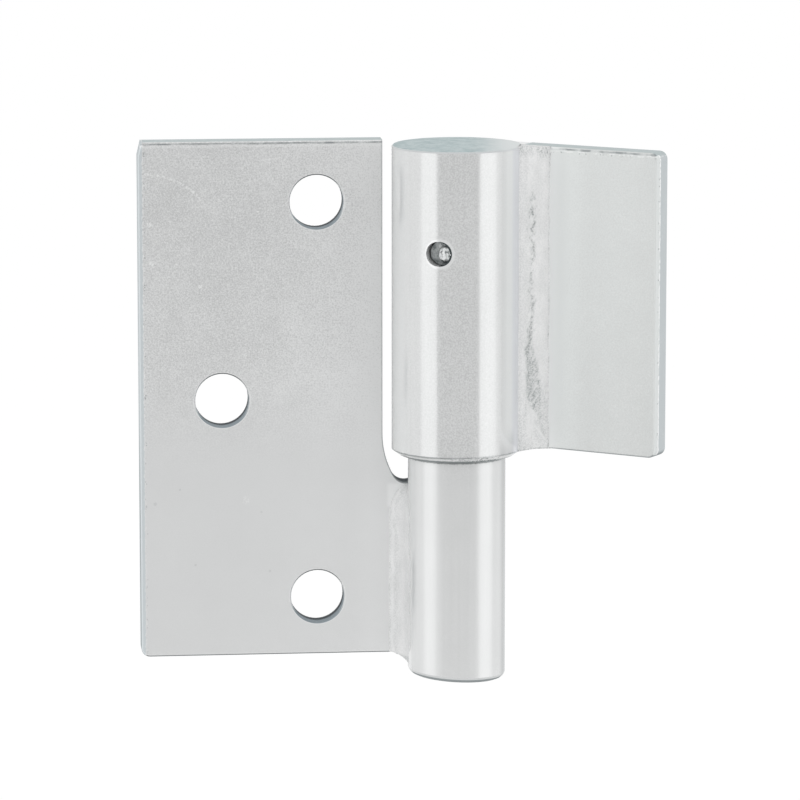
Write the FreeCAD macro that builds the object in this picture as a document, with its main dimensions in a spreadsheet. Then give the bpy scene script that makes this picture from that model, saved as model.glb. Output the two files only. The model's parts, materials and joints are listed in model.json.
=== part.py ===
# Weld-on hinge: a bolted plate on a round pin, and a sleeve with a weld-on tab that turns on it.
# Millimetres, +Z up along the pin. The plate lies in the XZ plane with its back face on Y = 0, and the
# origin is the centre of the middle bolt hole on that face. Every piece is drawn from the hinge axis
# and then placed, so each sketch below measures from the centre of the pin.

import FreeCAD, Part
import Sketcher
import math
import os

V = FreeCAD.Vector
ORIGIN = -1
X_AXIS = -1
Y_AXIS = -2
START, END, CENTRE = 1, 2, 3

doc = FreeCAD.newDocument("weld_on_hinge")

# Driving sizes, in millimetres and degrees

SIZES = [
    # mounting plate
    ("plate_height", 101.6, "bottom edge to top edge"),
    ("plate_thickness", 4.76, "flat bar stock"),
    ("plate_reach", 61.6, "hinge axis to the plate's outer edge"),
    ("plate_corner", 1.7, "radius of the lower outer corner"),
    ("plate_clip_across", 0.65, "sheared nick at the upper outer corner, across"),
    ("plate_clip_down", 2.8, "the same nick, down"),
    ("stock_edge", 0.45, "rolled edge radius of plate and tab"),
    ("notch_gap", 1.4, "clear space between the sleeve and the notch edge"),
    ("notch_floor", 33.9, "bottom edge to the lowest point of the notch"),
    ("notch_round", 2.8, "radius at the notch floor"),
    ("notch_sweep", 17.0, "radius that leads from the straight notch edge into that round"),
    ("notch_sweep_start", 43.7, "height at which the notch edge starts to curve"),
    # bolt holes
    ("bolt_hole", 10.5, "hole diameter for 10 mm bolts"),
    ("bolt_hole_break", 0.25, "broken edge round each hole, front and back"),
    ("end_hole_reach", 26.9, "hinge axis to the upper and lower holes"),
    ("middle_hole_reach", 45.45, "hinge axis to the middle hole"),
    ("middle_hole_height", 50.8, "bottom edge to the middle hole"),
    ("top_hole_drop", 12.0, "top edge to the upper hole"),
    ("bottom_hole_rise", 11.5, "bottom edge to the lower hole"),
    # hinge pin
    ("pin_diameter", 19.05, "bright round bar"),
    ("pin_foot_drop", 3.45, "plate's bottom edge down to the middle of the pin's foot"),
    ("pin_foot_slant", 3.0, "degrees by which the sawn foot is out of square"),
    ("pin_foot_break", 0.85, "chamfer round the foot"),
    ("pin_foot_ease", 0.25, "second chamfer on both sides of the first, which rounds it off"),
    ("pin_top_break", 1.0, "chamfer round the top"),
    ("seat_mouth", 8.0, "diameter of the ball's seat at the pin's top"),
    ("groove_depth", 1.3, "retaining groove, depth"),
    ("groove_play", 0.25, "room above, below and behind the retaining pin"),
    # sleeve
    ("sleeve_diameter", 25.4, "outside"),
    ("sleeve_length", 60.5, "overall"),
    ("sleeve_lift", 40.6, "plate's bottom edge up to the sleeve's lower end"),
    ("bore_play", 0.08, "radial running clearance on the pin"),
    ("sleeve_roof", 4.0, "metal left above the drill point"),
    ("drill_point", 118.0, "included angle of the blind bore's end"),
    ("sleeve_foot_across", 1.4, "chamfer round the lower end, across"),
    ("sleeve_foot_up", 1.0, "the same chamfer, up"),
    ("sleeve_mouth_break", 0.6, "chamfer at the bore's mouth"),
    ("sleeve_top_break", 0.35, "chamfer round the top"),
    # thrust ball
    ("ball_diameter", 9.525, "steel ball"),
    ("ball_play", 0.04, "room between the ball and each cone"),
    # retaining pin
    ("cross_hole", 4.76, "diameter of the cross hole"),
    ("cross_hole_drop", 19.8, "sleeve's top down to the cross hole"),
    ("cross_hole_turn", 23.15, "degrees that the hole is turned from square to the plate"),
    ("retaining_fit", 0.03, "radial room of the retaining pin in its hole"),
    ("retaining_sink", 2.1, "sleeve's surface in to the retaining pin's end"),
    ("nub_diameter", 2.5, "stub that was left where the retaining pin was snapped off"),
    ("nub_height", 0.9, "the stub's height on the end of the pin"),
    ("nub_aside", 0.55, "the stub's centre, sideways from the pin's centre"),
    ("nub_below", 0.2, "the same, downwards"),
    ("nub_break", 0.4, "broken edge of the stub"),
    # weld-on tab
    ("tab_height", 59.2, "lower edge to upper edge"),
    ("tab_length", 29.3, "sleeve to the tab's free edge"),
    ("tab_thickness", 4.76, "flat bar stock"),
    ("tab_drop", 0.3, "sleeve's top down to the tab's upper edge"),
    ("tab_corner", 1.6, "radius of the free corners"),
    ("tab_swing", 35.15, "degrees that the tab stands forward of the plate's plane, as photographed"),
    # weld beads
    ("plate_bead_leg", 4.6, "front bead on the plate, from its inner edge"),
    ("plate_bead_ahead", 1.6, "front bead's toe on the pin, ahead of the axis"),
    ("plate_bead_hollow", 11.5, "radius of the bead's hollow face"),
    ("plate_bead_overrun", 1.7, "how far the bead runs past the plate's bottom edge"),
    ("plate_bead_tail", 3.6, "radius of the bead's tail below the plate"),
    ("plate_bead_run", 3.2, "the tail's length along the plate's bottom edge"),
    ("plate_bead_tuck", 0.5, "how far the tail's line ends inside the pin's side"),
    ("bead_top_flat", 1.2, "level part of the bead's upper end, out from the plate"),
    ("bead_top_round", 8.0, "radius that rounds off the rest of its upper end"),
    ("tab_bead_leg", 6.1, "front bead on the tab, from its inner edge"),
    ("tab_bead_toe", 2.15, "front bead's toe on the sleeve, behind the axis"),
    ("tab_valley_out", 3.95, "crease between the two passes, out from the tab's inner edge"),
    ("tab_valley_down", 3.1, "the same crease, ahead of the tab's front face"),
    ("tab_bead_crown", 4.2, "radius of each pass"),
    ("back_bead_sink", 0.6, "back beads below the flush back faces"),
]

sheet = doc.addObject("Spreadsheet::Sheet", "Sizes")
for row, (alias, value, note) in enumerate(SIZES, start=1):
    sheet.set("A%d" % row, alias)
    sheet.set("B%d" % row, str(value))
    sheet.setAlias("B%d" % row, alias)
    sheet.set("C%d" % row, note)
doc.recompute()


def size(alias):
    return float(sheet.get(alias))


# Expressions that several pieces share, so that each fit is written once

PIN_RADIUS = "Sizes.pin_diameter / 2"
SLEEVE_RADIUS = "Sizes.sleeve_diameter / 2"
PLATE_FRONT = "(Sizes.pin_diameter / 2 - Sizes.plate_thickness)"
PLATE_EDGE = "sqrt((Sizes.pin_diameter / 2)^2 - (Sizes.pin_diameter / 2 - Sizes.plate_thickness)^2)"
TAB_FRONT = "(Sizes.sleeve_diameter / 2 - Sizes.tab_thickness)"
TAB_EDGE = "sqrt((Sizes.sleeve_diameter / 2)^2 - (Sizes.sleeve_diameter / 2 - Sizes.tab_thickness)^2)"
SLEEVE_TOP = "(Sizes.sleeve_lift + Sizes.sleeve_length)"
TAB_HIGH = "(Sizes.sleeve_lift + Sizes.sleeve_length - Sizes.tab_drop)"
CROSS_HEIGHT = "(Sizes.sleeve_lift + Sizes.sleeve_length - Sizes.cross_hole_drop)"
HALF_DRILL = "(Sizes.drill_point * 1 deg / 2)"
ROOF_APEX = "(Sizes.sleeve_lift + Sizes.sleeve_length - Sizes.sleeve_roof)"
BALL_REACH = "(Sizes.ball_diameter / 2 + Sizes.ball_play)"
BALL_HEIGHT = "(%s - %s / sin(%s))" % (ROOF_APEX, BALL_REACH, HALF_DRILL)
SEAT_APEX = "(%s - %s / sin(45 deg))" % (BALL_HEIGHT, BALL_REACH)
PIN_TOP = "(%s + Sizes.seat_mouth / 2)" % SEAT_APEX

# The same fits as numbers, for the first drawing of each sketch before its dimensions are bound

pin_radius = size("pin_diameter") / 2
sleeve_radius = size("sleeve_diameter") / 2
plate_front = pin_radius - size("plate_thickness")
plate_edge = math.sqrt(pin_radius ** 2 - plate_front ** 2)
tab_front = sleeve_radius - size("tab_thickness")
tab_edge = math.sqrt(sleeve_radius ** 2 - tab_front ** 2)
sleeve_top = size("sleeve_lift") + size("sleeve_length")
tab_high = sleeve_top - size("tab_drop")
cross_height = sleeve_top - size("cross_hole_drop")
half_drill = math.radians(size("drill_point") / 2)
roof_apex = sleeve_top - size("sleeve_roof")
ball_reach = size("ball_diameter") / 2 + size("ball_play")
ball_height = roof_apex - ball_reach / math.sin(half_drill)
seat_apex = ball_height - ball_reach / math.sin(math.radians(45))
pin_top = seat_apex + size("seat_mouth") / 2


# Small helpers for bodies, sketches and dimensions

def new_body(label, turn=None):
    """A body drawn from the hinge axis. turn is an expression in degrees about the axis."""
    body = doc.addObject("PartDesign::Body", label)
    body.Label = label
    body.Placement = FreeCAD.Placement(V(0, 0, 0), FreeCAD.Rotation(V(0, 0, 1), 1))
    body.setExpression("Placement.Base.x", "Sizes.middle_hole_reach")
    body.setExpression("Placement.Base.y", "-Sizes.pin_diameter / 2")
    body.setExpression("Placement.Base.z", "-Sizes.middle_hole_height")
    body.setExpression("Placement.Rotation.Angle", turn or "0")
    return body


def new_sketch(body, name, plane, offset=None):
    """A sketch on one of the body's own origin planes. offset is an expression along its normal."""
    sketch = body.newObject("Sketcher::SketchObject", name)
    support = [item for item in body.Origin.OriginFeatures if item.Role == plane][0]
    sketch.AttachmentSupport = [(support, "")]
    sketch.MapMode = "FlatFace"
    if offset:
        sketch.setExpression("AttachmentOffset.Base.z", offset)
    return sketch


def dimension(sketch, name, kind, refs, value, expression):
    """A named dimension, drawn at its present value and then bound to the sheet."""
    index = sketch.addConstraint(Sketcher.Constraint(kind, *refs, value))
    sketch.renameConstraint(index, name)
    sketch.setExpression("Constraints." + name, expression)


def left_of_axis(sketch, name, geo, point, value, expression):
    dimension(sketch, name, "DistanceX", (geo, point, ORIGIN, 1), value, expression)


def right_of_axis(sketch, name, geo, point, value, expression):
    dimension(sketch, name, "DistanceX", (ORIGIN, 1, geo, point), value, expression)


def above_origin(sketch, name, geo, point, value, expression):
    dimension(sketch, name, "DistanceY", (ORIGIN, 1, geo, point), value, expression)


def below_origin(sketch, name, geo, point, value, expression):
    dimension(sketch, name, "DistanceY", (geo, point, ORIGIN, 1), value, expression)


def on_axis(sketch, geo, point, axis):
    sketch.addConstraint(Sketcher.Constraint("PointOnObject", geo, point, axis))


def level(sketch, geo):
    sketch.addConstraint(Sketcher.Constraint("Horizontal", geo))


def upright(sketch, geo):
    sketch.addConstraint(Sketcher.Constraint("Vertical", geo))


def join(sketch, geo_a, point_a, geo_b, point_b):
    sketch.addConstraint(Sketcher.Constraint("Coincident", geo_a, point_a, geo_b, point_b))


def polyline(sketch, points, closed=True):
    """Straight lines through (x, y) points, joined end to start. Returns their indices."""
    pairs = list(zip(points, points[1:] + points[:1]))
    if not closed:
        pairs = pairs[:-1]
    lines = [sketch.addGeometry(Part.LineSegment(V(*a, 0), V(*b, 0))) for a, b in pairs]
    for first, second in zip(lines, lines[1:]):
        join(sketch, first, END, second, START)
    if closed:
        join(sketch, lines[-1], END, lines[0], START)
    return lines


def arc_about(centre, radius, start, end):
    """An arc that runs anticlockwise from start to end, both given as points."""
    circle = Part.Circle(V(*centre, 0), V(0, 0, 1), radius)
    first = math.atan2(start[1] - centre[1], start[0] - centre[0])
    last = math.atan2(end[1] - centre[1], end[0] - centre[0])
    if last < first:
        last += 2 * math.pi
    return Part.ArcOfCircle(circle, first, last)


def centre_left_of(start, end, radius):
    """Centre of a circle through two points, on the left of the way from start to end."""
    dx = end[0] - start[0]
    dy = end[1] - start[1]
    half = math.hypot(dx, dy) / 2
    rise = math.sqrt(max(radius ** 2 - half ** 2, 0)) / (2 * half)
    return ((start[0] + end[0]) / 2 - dy * rise, (start[1] + end[1]) / 2 + dx * rise)


def pad(body, name, sketch, expression, value):
    feature = body.newObject("PartDesign::Pad", name)
    feature.Profile = sketch
    feature.Length = value
    feature.setExpression("Length", expression)
    return feature


def cut_through(body, name, sketch):
    feature = body.newObject("PartDesign::Pocket", name)
    feature.Profile = sketch
    feature.Type = "ThroughAll"
    feature.SideType = "Symmetric"
    return feature


def revolve(body, name, sketch, kind="PartDesign::Revolution"):
    feature = body.newObject(kind, name)
    feature.Profile = sketch
    feature.ReferenceAxis = (sketch, ["V_Axis"])
    feature.Angle = 360
    return feature


def must_cut(before, feature):
    """A pocket or groove that misses its solid shows no error, so the volumes are compared."""
    doc.recompute()
    if not feature.Shape.Volume < before - 1e-6:
        raise RuntimeError(feature.Name + " removed nothing")


def edges_where(shape, test):
    """Names of the edges whose middle point passes the test."""
    names = []
    for number, edge in enumerate(shape.Edges, start=1):
        middle = edge.valueAt((edge.FirstParameter + edge.LastParameter) / 2)
        if test(edge, middle):
            names.append("Edge%d" % number)
    return names


def dress(body, name, base, edges, kind, expression, value):
    """A fillet or chamfer on named edges of the body's last feature."""
    feature = body.newObject("PartDesign::" + kind, name)
    feature.Base = (base, edges)
    setting = "Radius" if kind == "Fillet" else "Size"
    setattr(feature, setting, value)
    feature.setExpression(setting, expression)
    return feature


# Mounting plate: its back lies flush with the back of the pin, its inner edge touches the pin

def make_mounting_plate():
    body = new_body("mounting_plate")
    reach = size("plate_reach")
    height = size("plate_height")
    notch_edge = sleeve_radius + size("notch_gap")
    sweep_r = size("notch_sweep")
    sweep_z = size("notch_sweep_start")
    sweep_centre = (sweep_r - notch_edge, sweep_z)
    round_r = size("notch_round")
    round_z = size("notch_floor") + round_r
    spread = sweep_r - round_r
    round_centre = (sweep_centre[0] - math.sqrt(spread ** 2 - (sweep_z - round_z) ** 2), round_z)
    meet_x = sweep_centre[0] + (round_centre[0] - sweep_centre[0]) * sweep_r / spread
    meet_z = sweep_z + (round_z - sweep_z) * sweep_r / spread
    tongue_top = round_z - math.sqrt(round_r ** 2 - (round_centre[0] + plate_edge) ** 2)

    outline = new_sketch(body, "plate_outline", "XZ_Plane", "-" + PIN_RADIUS)
    points = [
        (-notch_edge, sweep_z),
        (-notch_edge, height),
        (-reach + size("plate_clip_across"), height),
        (-reach, height - size("plate_clip_down")),
        (-reach, 0),
        (-plate_edge, 0),
        (-plate_edge, tongue_top),
    ]
    notch_side, top, clip, outer, bottom, tongue = polyline(outline, points, closed=False)
    sweep = outline.addGeometry(arc_about(sweep_centre, sweep_r, points[0], (meet_x, meet_z)))
    floor = outline.addGeometry(arc_about(round_centre, round_r, (meet_x, meet_z), points[-1]))
    join(outline, floor, END, tongue, END)
    outline.addConstraint(Sketcher.Constraint("Tangent", sweep, START, notch_side, START))
    outline.addConstraint(Sketcher.Constraint("Tangent", sweep, END, floor, START))
    upright(outline, notch_side)
    level(outline, top)
    upright(outline, outer)
    upright(outline, tongue)
    on_axis(outline, bottom, START, X_AXIS)
    on_axis(outline, bottom, END, X_AXIS)
    left_of_axis(outline, "reach", bottom, START, reach, "Sizes.plate_reach")
    left_of_axis(outline, "tongue", bottom, END, plate_edge, PLATE_EDGE)
    left_of_axis(outline, "notch_side", notch_side, START, notch_edge, SLEEVE_RADIUS + " + Sizes.notch_gap")
    above_origin(outline, "sweep_start", notch_side, START, sweep_z, "Sizes.notch_sweep_start")
    above_origin(outline, "height", top, START, height, "Sizes.plate_height")
    dimension(outline, "clip_across", "DistanceX", (outer, START, top, END),
              size("plate_clip_across"), "Sizes.plate_clip_across")
    dimension(outline, "clip_down", "DistanceY", (outer, START, top, END),
              size("plate_clip_down"), "Sizes.plate_clip_down")
    dimension(outline, "sweep", "Radius", (sweep,), sweep_r, "Sizes.notch_sweep")
    dimension(outline, "floor_round", "Radius", (floor,), round_r, "Sizes.notch_round")
    above_origin(outline, "round_height", floor, CENTRE, round_z, "Sizes.notch_floor + Sizes.notch_round")
    slab = pad(body, "plate_slab", outline, "Sizes.plate_thickness", size("plate_thickness"))
    doc.recompute()

    holes = new_sketch(body, "bolt_holes", "XZ_Plane", "-" + PIN_RADIUS)
    places = [
        ("top", "Sizes.end_hole_reach", "Sizes.plate_height - Sizes.top_hole_drop",
         size("end_hole_reach"), height - size("top_hole_drop")),
        ("middle", "Sizes.middle_hole_reach", "Sizes.middle_hole_height",
         size("middle_hole_reach"), size("middle_hole_height")),
        ("bottom", "Sizes.end_hole_reach", "Sizes.bottom_hole_rise",
         size("end_hole_reach"), size("bottom_hole_rise")),
    ]
    for name, reach_rule, height_rule, x, z in places:
        ring = holes.addGeometry(Part.Circle(V(-x, z, 0), V(0, 0, 1), size("bolt_hole") / 2))
        dimension(holes, name + "_size", "Diameter", (ring,), size("bolt_hole"), "Sizes.bolt_hole")
        left_of_axis(holes, name + "_reach", ring, CENTRE, x, reach_rule)
        above_origin(holes, name + "_height", ring, CENTRE, z, height_rule)
    drilled = cut_through(body, "bolt_hole_cut", holes)
    must_cut(slab.Shape.Volume, drilled)

    def lower_outer_corner(edge, middle):
        return abs(middle.x + reach) < 1e-3 and abs(middle.z) < 1e-3

    corner = edges_where(drilled.Shape, lower_outer_corner)
    rounded = dress(body, "plate_corner_round", drilled, corner, "Fillet",
                    "Sizes.plate_corner", size("plate_corner"))
    doc.recompute()

    def rolled_edge(edge, middle):
        on_face = min(abs(middle.y - pin_radius), abs(middle.y - plate_front)) < 1e-3
        outside = middle.x < -notch_edge - 1e-3 or middle.z < 1e-3
        circle = edge.Curve.TypeId == "Part::GeomCircle"
        in_hole = circle and abs(edge.Curve.Radius - size("bolt_hole") / 2) < 1e-3
        return on_face and outside and not in_hole

    rim = edges_where(rounded.Shape, rolled_edge)
    rolled = dress(body, "plate_rolled_edges", rounded, rim, "Fillet",
                   "Sizes.stock_edge", size("stock_edge"))
    doc.recompute()

    def hole_rim(edge, middle):
        circle = edge.Curve.TypeId == "Part::GeomCircle"
        return circle and edge.Closed and abs(edge.Curve.Radius - size("bolt_hole") / 2) < 1e-3

    rims = edges_where(rolled.Shape, hole_rim)
    dress(body, "bolt_hole_chamfers", rolled, rims, "Chamfer",
          "Sizes.bolt_hole_break", size("bolt_hole_break"))
    doc.recompute()
    return body


# Hinge pin: one bar with a sawn foot, a retaining groove and a ball seat in its top

def make_hinge_pin():
    body = new_body("hinge_pin")
    groove_half = size("cross_hole") / 2 - size("retaining_fit") + size("groove_play")
    groove_half_rule = "(Sizes.cross_hole / 2 - Sizes.retaining_fit + Sizes.groove_play)"
    groove_r = pin_radius - size("groove_depth")
    slant = math.tan(math.radians(size("pin_foot_slant")))
    blank_foot = size("pin_foot_drop") + pin_radius * slant
    blank_rule = "Sizes.pin_foot_drop + %s * tan(Sizes.pin_foot_slant * 1 deg)" % PIN_RADIUS
    top_break = size("pin_top_break")

    section = new_sketch(body, "pin_section", "XZ_Plane")
    points = [
        (0, -blank_foot),
        (pin_radius, -blank_foot),
        (pin_radius, pin_top - top_break),
        (pin_radius - top_break, pin_top),
        (size("seat_mouth") / 2, pin_top),
        (0, seat_apex),
    ]
    foot, side, bevel, top, seat, axis = polyline(section, points)
    level(section, foot)
    upright(section, side)
    level(section, top)
    on_axis(section, axis, START, Y_AXIS)
    on_axis(section, axis, END, Y_AXIS)
    below_origin(section, "blank_foot", foot, START, blank_foot, blank_rule)
    right_of_axis(section, "radius", side, START, pin_radius, PIN_RADIUS)
    above_origin(section, "top", top, START, pin_top, PIN_TOP)
    dimension(section, "bevel_across", "DistanceX", (bevel, END, bevel, START),
              top_break, "Sizes.pin_top_break")
    dimension(section, "bevel_down", "DistanceY", (bevel, START, bevel, END),
              top_break, "Sizes.pin_top_break")
    right_of_axis(section, "seat_mouth", seat, START, size("seat_mouth") / 2, "Sizes.seat_mouth / 2")
    above_origin(section, "seat_apex", seat, END, seat_apex, SEAT_APEX)
    bar = revolve(body, "pin_bar", section)
    doc.recompute()

    ring = new_sketch(body, "groove_section", "XZ_Plane")
    outer_r = pin_radius + 1
    points = [
        (groove_r, cross_height - groove_half),
        (outer_r, cross_height - groove_half),
        (outer_r, cross_height + groove_half),
        (groove_r, cross_height + groove_half),
    ]
    low, outside, high, inside = polyline(ring, points)
    level(ring, low)
    upright(ring, outside)
    level(ring, high)
    upright(ring, inside)
    right_of_axis(ring, "floor", low, START, groove_r, PIN_RADIUS + " - Sizes.groove_depth")
    right_of_axis(ring, "outside", low, END, outer_r, PIN_RADIUS + " + 1")
    above_origin(ring, "low", low, START, cross_height - groove_half,
                 CROSS_HEIGHT + " - " + groove_half_rule)
    above_origin(ring, "high", high, START, cross_height + groove_half,
                 CROSS_HEIGHT + " + " + groove_half_rule)
    groove = revolve(body, "retaining_groove", ring, "PartDesign::Groove")
    must_cut(bar.Shape.Volume, groove)

    # The saw cut rises towards the plate
    saw = new_sketch(body, "foot_saw_cut", "XZ_Plane")
    wide = pin_radius + 1
    deep = blank_foot + 1
    drop = size("pin_foot_drop")
    points = [(-wide, -deep), (wide, -deep), (wide, -drop - wide * slant), (-wide, -drop + wide * slant)]
    base, right, cut, left = polyline(saw, points)
    level(saw, base)
    upright(saw, right)
    upright(saw, left)
    wide_rule = "(%s + 1)" % PIN_RADIUS
    left_of_axis(saw, "left", base, START, wide, wide_rule)
    right_of_axis(saw, "right", base, END, wide, wide_rule)
    below_origin(saw, "deep", base, START, deep, blank_rule + " + 1")
    rise_rule = "%s * tan(Sizes.pin_foot_slant * 1 deg)" % wide_rule
    below_origin(saw, "low_side", cut, START, drop + wide * slant, "Sizes.pin_foot_drop + " + rise_rule)
    below_origin(saw, "high_side", cut, END, drop - wide * slant, "Sizes.pin_foot_drop - " + rise_rule)
    sawn = cut_through(body, "sawn_foot", saw)
    must_cut(groove.Shape.Volume, sawn)

    def foot_rim(edge, middle):
        return edge.Closed and edge.BoundBox.ZMax < 0

    rim = edges_where(sawn.Shape, foot_rim)
    broken = dress(body, "pin_foot_chamfer", sawn, rim, "Chamfer",
                   "Sizes.pin_foot_break", size("pin_foot_break"))
    doc.recompute()

    def chamfer_edge(edge, middle):
        return edge.Closed and edge.BoundBox.ZMax < 0

    sides = edges_where(broken.Shape, chamfer_edge)
    dress(body, "pin_foot_ease", broken, sides, "Chamfer", "Sizes.pin_foot_ease", size("pin_foot_ease"))
    doc.recompute()
    return body


# Sleeve: turned outside, drilled blind from below, cross drilled for the retaining pin

def make_sleeve():
    body = new_body("sleeve", "-Sizes.cross_hole_turn")
    bore = pin_radius + size("bore_play")
    bore_rule = PIN_RADIUS + " + Sizes.bore_play"
    low = size("sleeve_lift")
    mouth = size("sleeve_mouth_break")
    foot_across = size("sleeve_foot_across")
    foot_up = size("sleeve_foot_up")
    top_break = size("sleeve_top_break")
    shoulder = roof_apex - bore / math.tan(half_drill)

    section = new_sketch(body, "sleeve_section", "XZ_Plane")
    points = [
        (bore + mouth, low),
        (sleeve_radius - foot_across, low),
        (sleeve_radius, low + foot_up),
        (sleeve_radius, sleeve_top - top_break),
        (sleeve_radius - top_break, sleeve_top),
        (0, sleeve_top),
        (0, roof_apex),
        (bore, shoulder),
        (bore, low + mouth),
    ]
    base, foot_line, side, top_line, top, axis, cone, wall, mouth_line = polyline(section, points)
    level(section, base)
    upright(section, side)
    level(section, top)
    upright(section, wall)
    on_axis(section, axis, START, Y_AXIS)
    on_axis(section, axis, END, Y_AXIS)
    above_origin(section, "low", base, START, low, "Sizes.sleeve_lift")
    above_origin(section, "high", top, START, sleeve_top, SLEEVE_TOP)
    right_of_axis(section, "outside", side, START, sleeve_radius, SLEEVE_RADIUS)
    right_of_axis(section, "bore", wall, START, bore, bore_rule)
    above_origin(section, "apex", cone, START, roof_apex, ROOF_APEX)
    above_origin(section, "shoulder", cone, END, shoulder,
                 "%s - (%s) / tan(%s)" % (ROOF_APEX, bore_rule, HALF_DRILL))
    for name, line, first, second, alias in [
        ("foot_across", foot_line, START, END, "sleeve_foot_across"),
        ("rim_across", top_line, END, START, "sleeve_top_break"),
        ("mouth_across", mouth_line, START, END, "sleeve_mouth_break"),
    ]:
        dimension(section, name, "DistanceX", (line, first, line, second), size(alias), "Sizes." + alias)
    dimension(section, "foot_up", "DistanceY", (foot_line, START, foot_line, END),
              foot_up, "Sizes.sleeve_foot_up")
    dimension(section, "rim_up", "DistanceY", (top_line, START, top_line, END),
              top_break, "Sizes.sleeve_top_break")
    dimension(section, "mouth_up", "DistanceY", (mouth_line, END, mouth_line, START),
              mouth, "Sizes.sleeve_mouth_break")
    turned = revolve(body, "turned_sleeve", section)
    doc.recompute()

    drill = new_sketch(body, "cross_drill", "XZ_Plane")
    ring = drill.addGeometry(Part.Circle(V(0, cross_height, 0), V(0, 0, 1), size("cross_hole") / 2))
    on_axis(drill, ring, CENTRE, Y_AXIS)
    dimension(drill, "hole", "Diameter", (ring,), size("cross_hole"), "Sizes.cross_hole")
    above_origin(drill, "height", ring, CENTRE, cross_height, CROSS_HEIGHT)
    hole = body.newObject("PartDesign::Pocket", "cross_hole_cut")
    hole.Profile = drill
    hole.Length = size("sleeve_diameter")
    hole.setExpression("Length", "Sizes.sleeve_diameter")
    hole.Reversed = True
    must_cut(turned.Shape.Volume, hole)
    return body


# Thrust ball: sits in the pin's seat and carries the sleeve at the point of its drilled bore

def make_thrust_ball():
    body = new_body("thrust_ball")
    section = new_sketch(body, "ball_section", "XZ_Plane")
    radius = size("ball_diameter") / 2
    low = (0, ball_height - radius)
    high = (0, ball_height + radius)
    arc = section.addGeometry(arc_about((0, ball_height), radius, low, high))
    line = section.addGeometry(Part.LineSegment(V(*high, 0), V(*low, 0)))
    join(section, arc, END, line, START)
    join(section, line, END, arc, START)
    on_axis(section, line, START, Y_AXIS)
    on_axis(section, line, END, Y_AXIS)
    on_axis(section, arc, CENTRE, Y_AXIS)
    dimension(section, "radius", "Radius", (arc,), radius, "Sizes.ball_diameter / 2")
    above_origin(section, "height", arc, CENTRE, ball_height, BALL_HEIGHT)
    revolve(body, "ball", section)
    doc.recompute()
    return body


# Retaining pin: pressed into the cross hole, its inner end runs in the hinge pin's groove

def make_retaining_pin():
    body = new_body("retaining_pin", "-Sizes.cross_hole_turn")
    radius = size("cross_hole") / 2 - size("retaining_fit")
    inner = pin_radius - size("groove_depth") + size("groove_play")
    inner_rule = PIN_RADIUS + " - Sizes.groove_depth + Sizes.groove_play"
    outer = sleeve_radius - size("retaining_sink")
    outer_rule = SLEEVE_RADIUS + " - Sizes.retaining_sink"
    fit_rule = "(Sizes.cross_hole / 2 - Sizes.retaining_fit)"

    # Half section in the YZ plane, spun about a line through the hole's axis
    section = new_sketch(body, "retaining_section", "YZ_Plane")
    points = [
        (-outer, cross_height + radius),
        (-inner, cross_height + radius),
        (-inner, cross_height),
        (-outer, cross_height),
    ]
    side, back, axis, face = polyline(section, points)
    level(section, side)
    upright(section, back)
    level(section, axis)
    upright(section, face)
    above_origin(section, "axis_height", axis, START, cross_height, CROSS_HEIGHT)
    dimension(section, "radius", "DistanceY", (back, END, back, START), radius, fit_rule)
    left_of_axis(section, "inner", back, START, inner, inner_rule)
    left_of_axis(section, "outer", face, START, outer, outer_rule)
    spun = body.newObject("PartDesign::Revolution", "retaining_peg")
    spun.Profile = section
    spun.ReferenceAxis = (section, ["Edge%d" % (axis + 1)])
    spun.Angle = 360
    doc.recompute()

    # The stub starts one millimetre inside the pin's end
    stub = new_sketch(body, "stub_outline", "XZ_Plane", outer_rule + " - 1")
    nub_radius = size("nub_diameter") / 2
    nub_z = cross_height - size("nub_below")
    ring = stub.addGeometry(Part.Circle(V(size("nub_aside"), nub_z, 0), V(0, 0, 1), nub_radius))
    dimension(stub, "stub_size", "Diameter", (ring,), size("nub_diameter"), "Sizes.nub_diameter")
    right_of_axis(stub, "aside", ring, CENTRE, size("nub_aside"), "Sizes.nub_aside")
    above_origin(stub, "stub_height", ring, CENTRE, nub_z, CROSS_HEIGHT + " - Sizes.nub_below")
    nub = pad(body, "snapped_stub", stub, "Sizes.nub_height + 1", size("nub_height") + 1)
    doc.recompute()

    def stub_rim(edge, middle):
        circle = edge.Curve.TypeId == "Part::GeomCircle"
        return circle and abs(edge.Curve.Center.y + outer + size("nub_height")) < 1e-3

    rim = edges_where(nub.Shape, stub_rim)
    dress(body, "stub_edge", nub, rim, "Chamfer", "Sizes.nub_break", size("nub_break"))
    doc.recompute()
    return body


# Weld-on tab: its back lies flush with the back of the sleeve, its inner edge touches the sleeve

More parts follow.
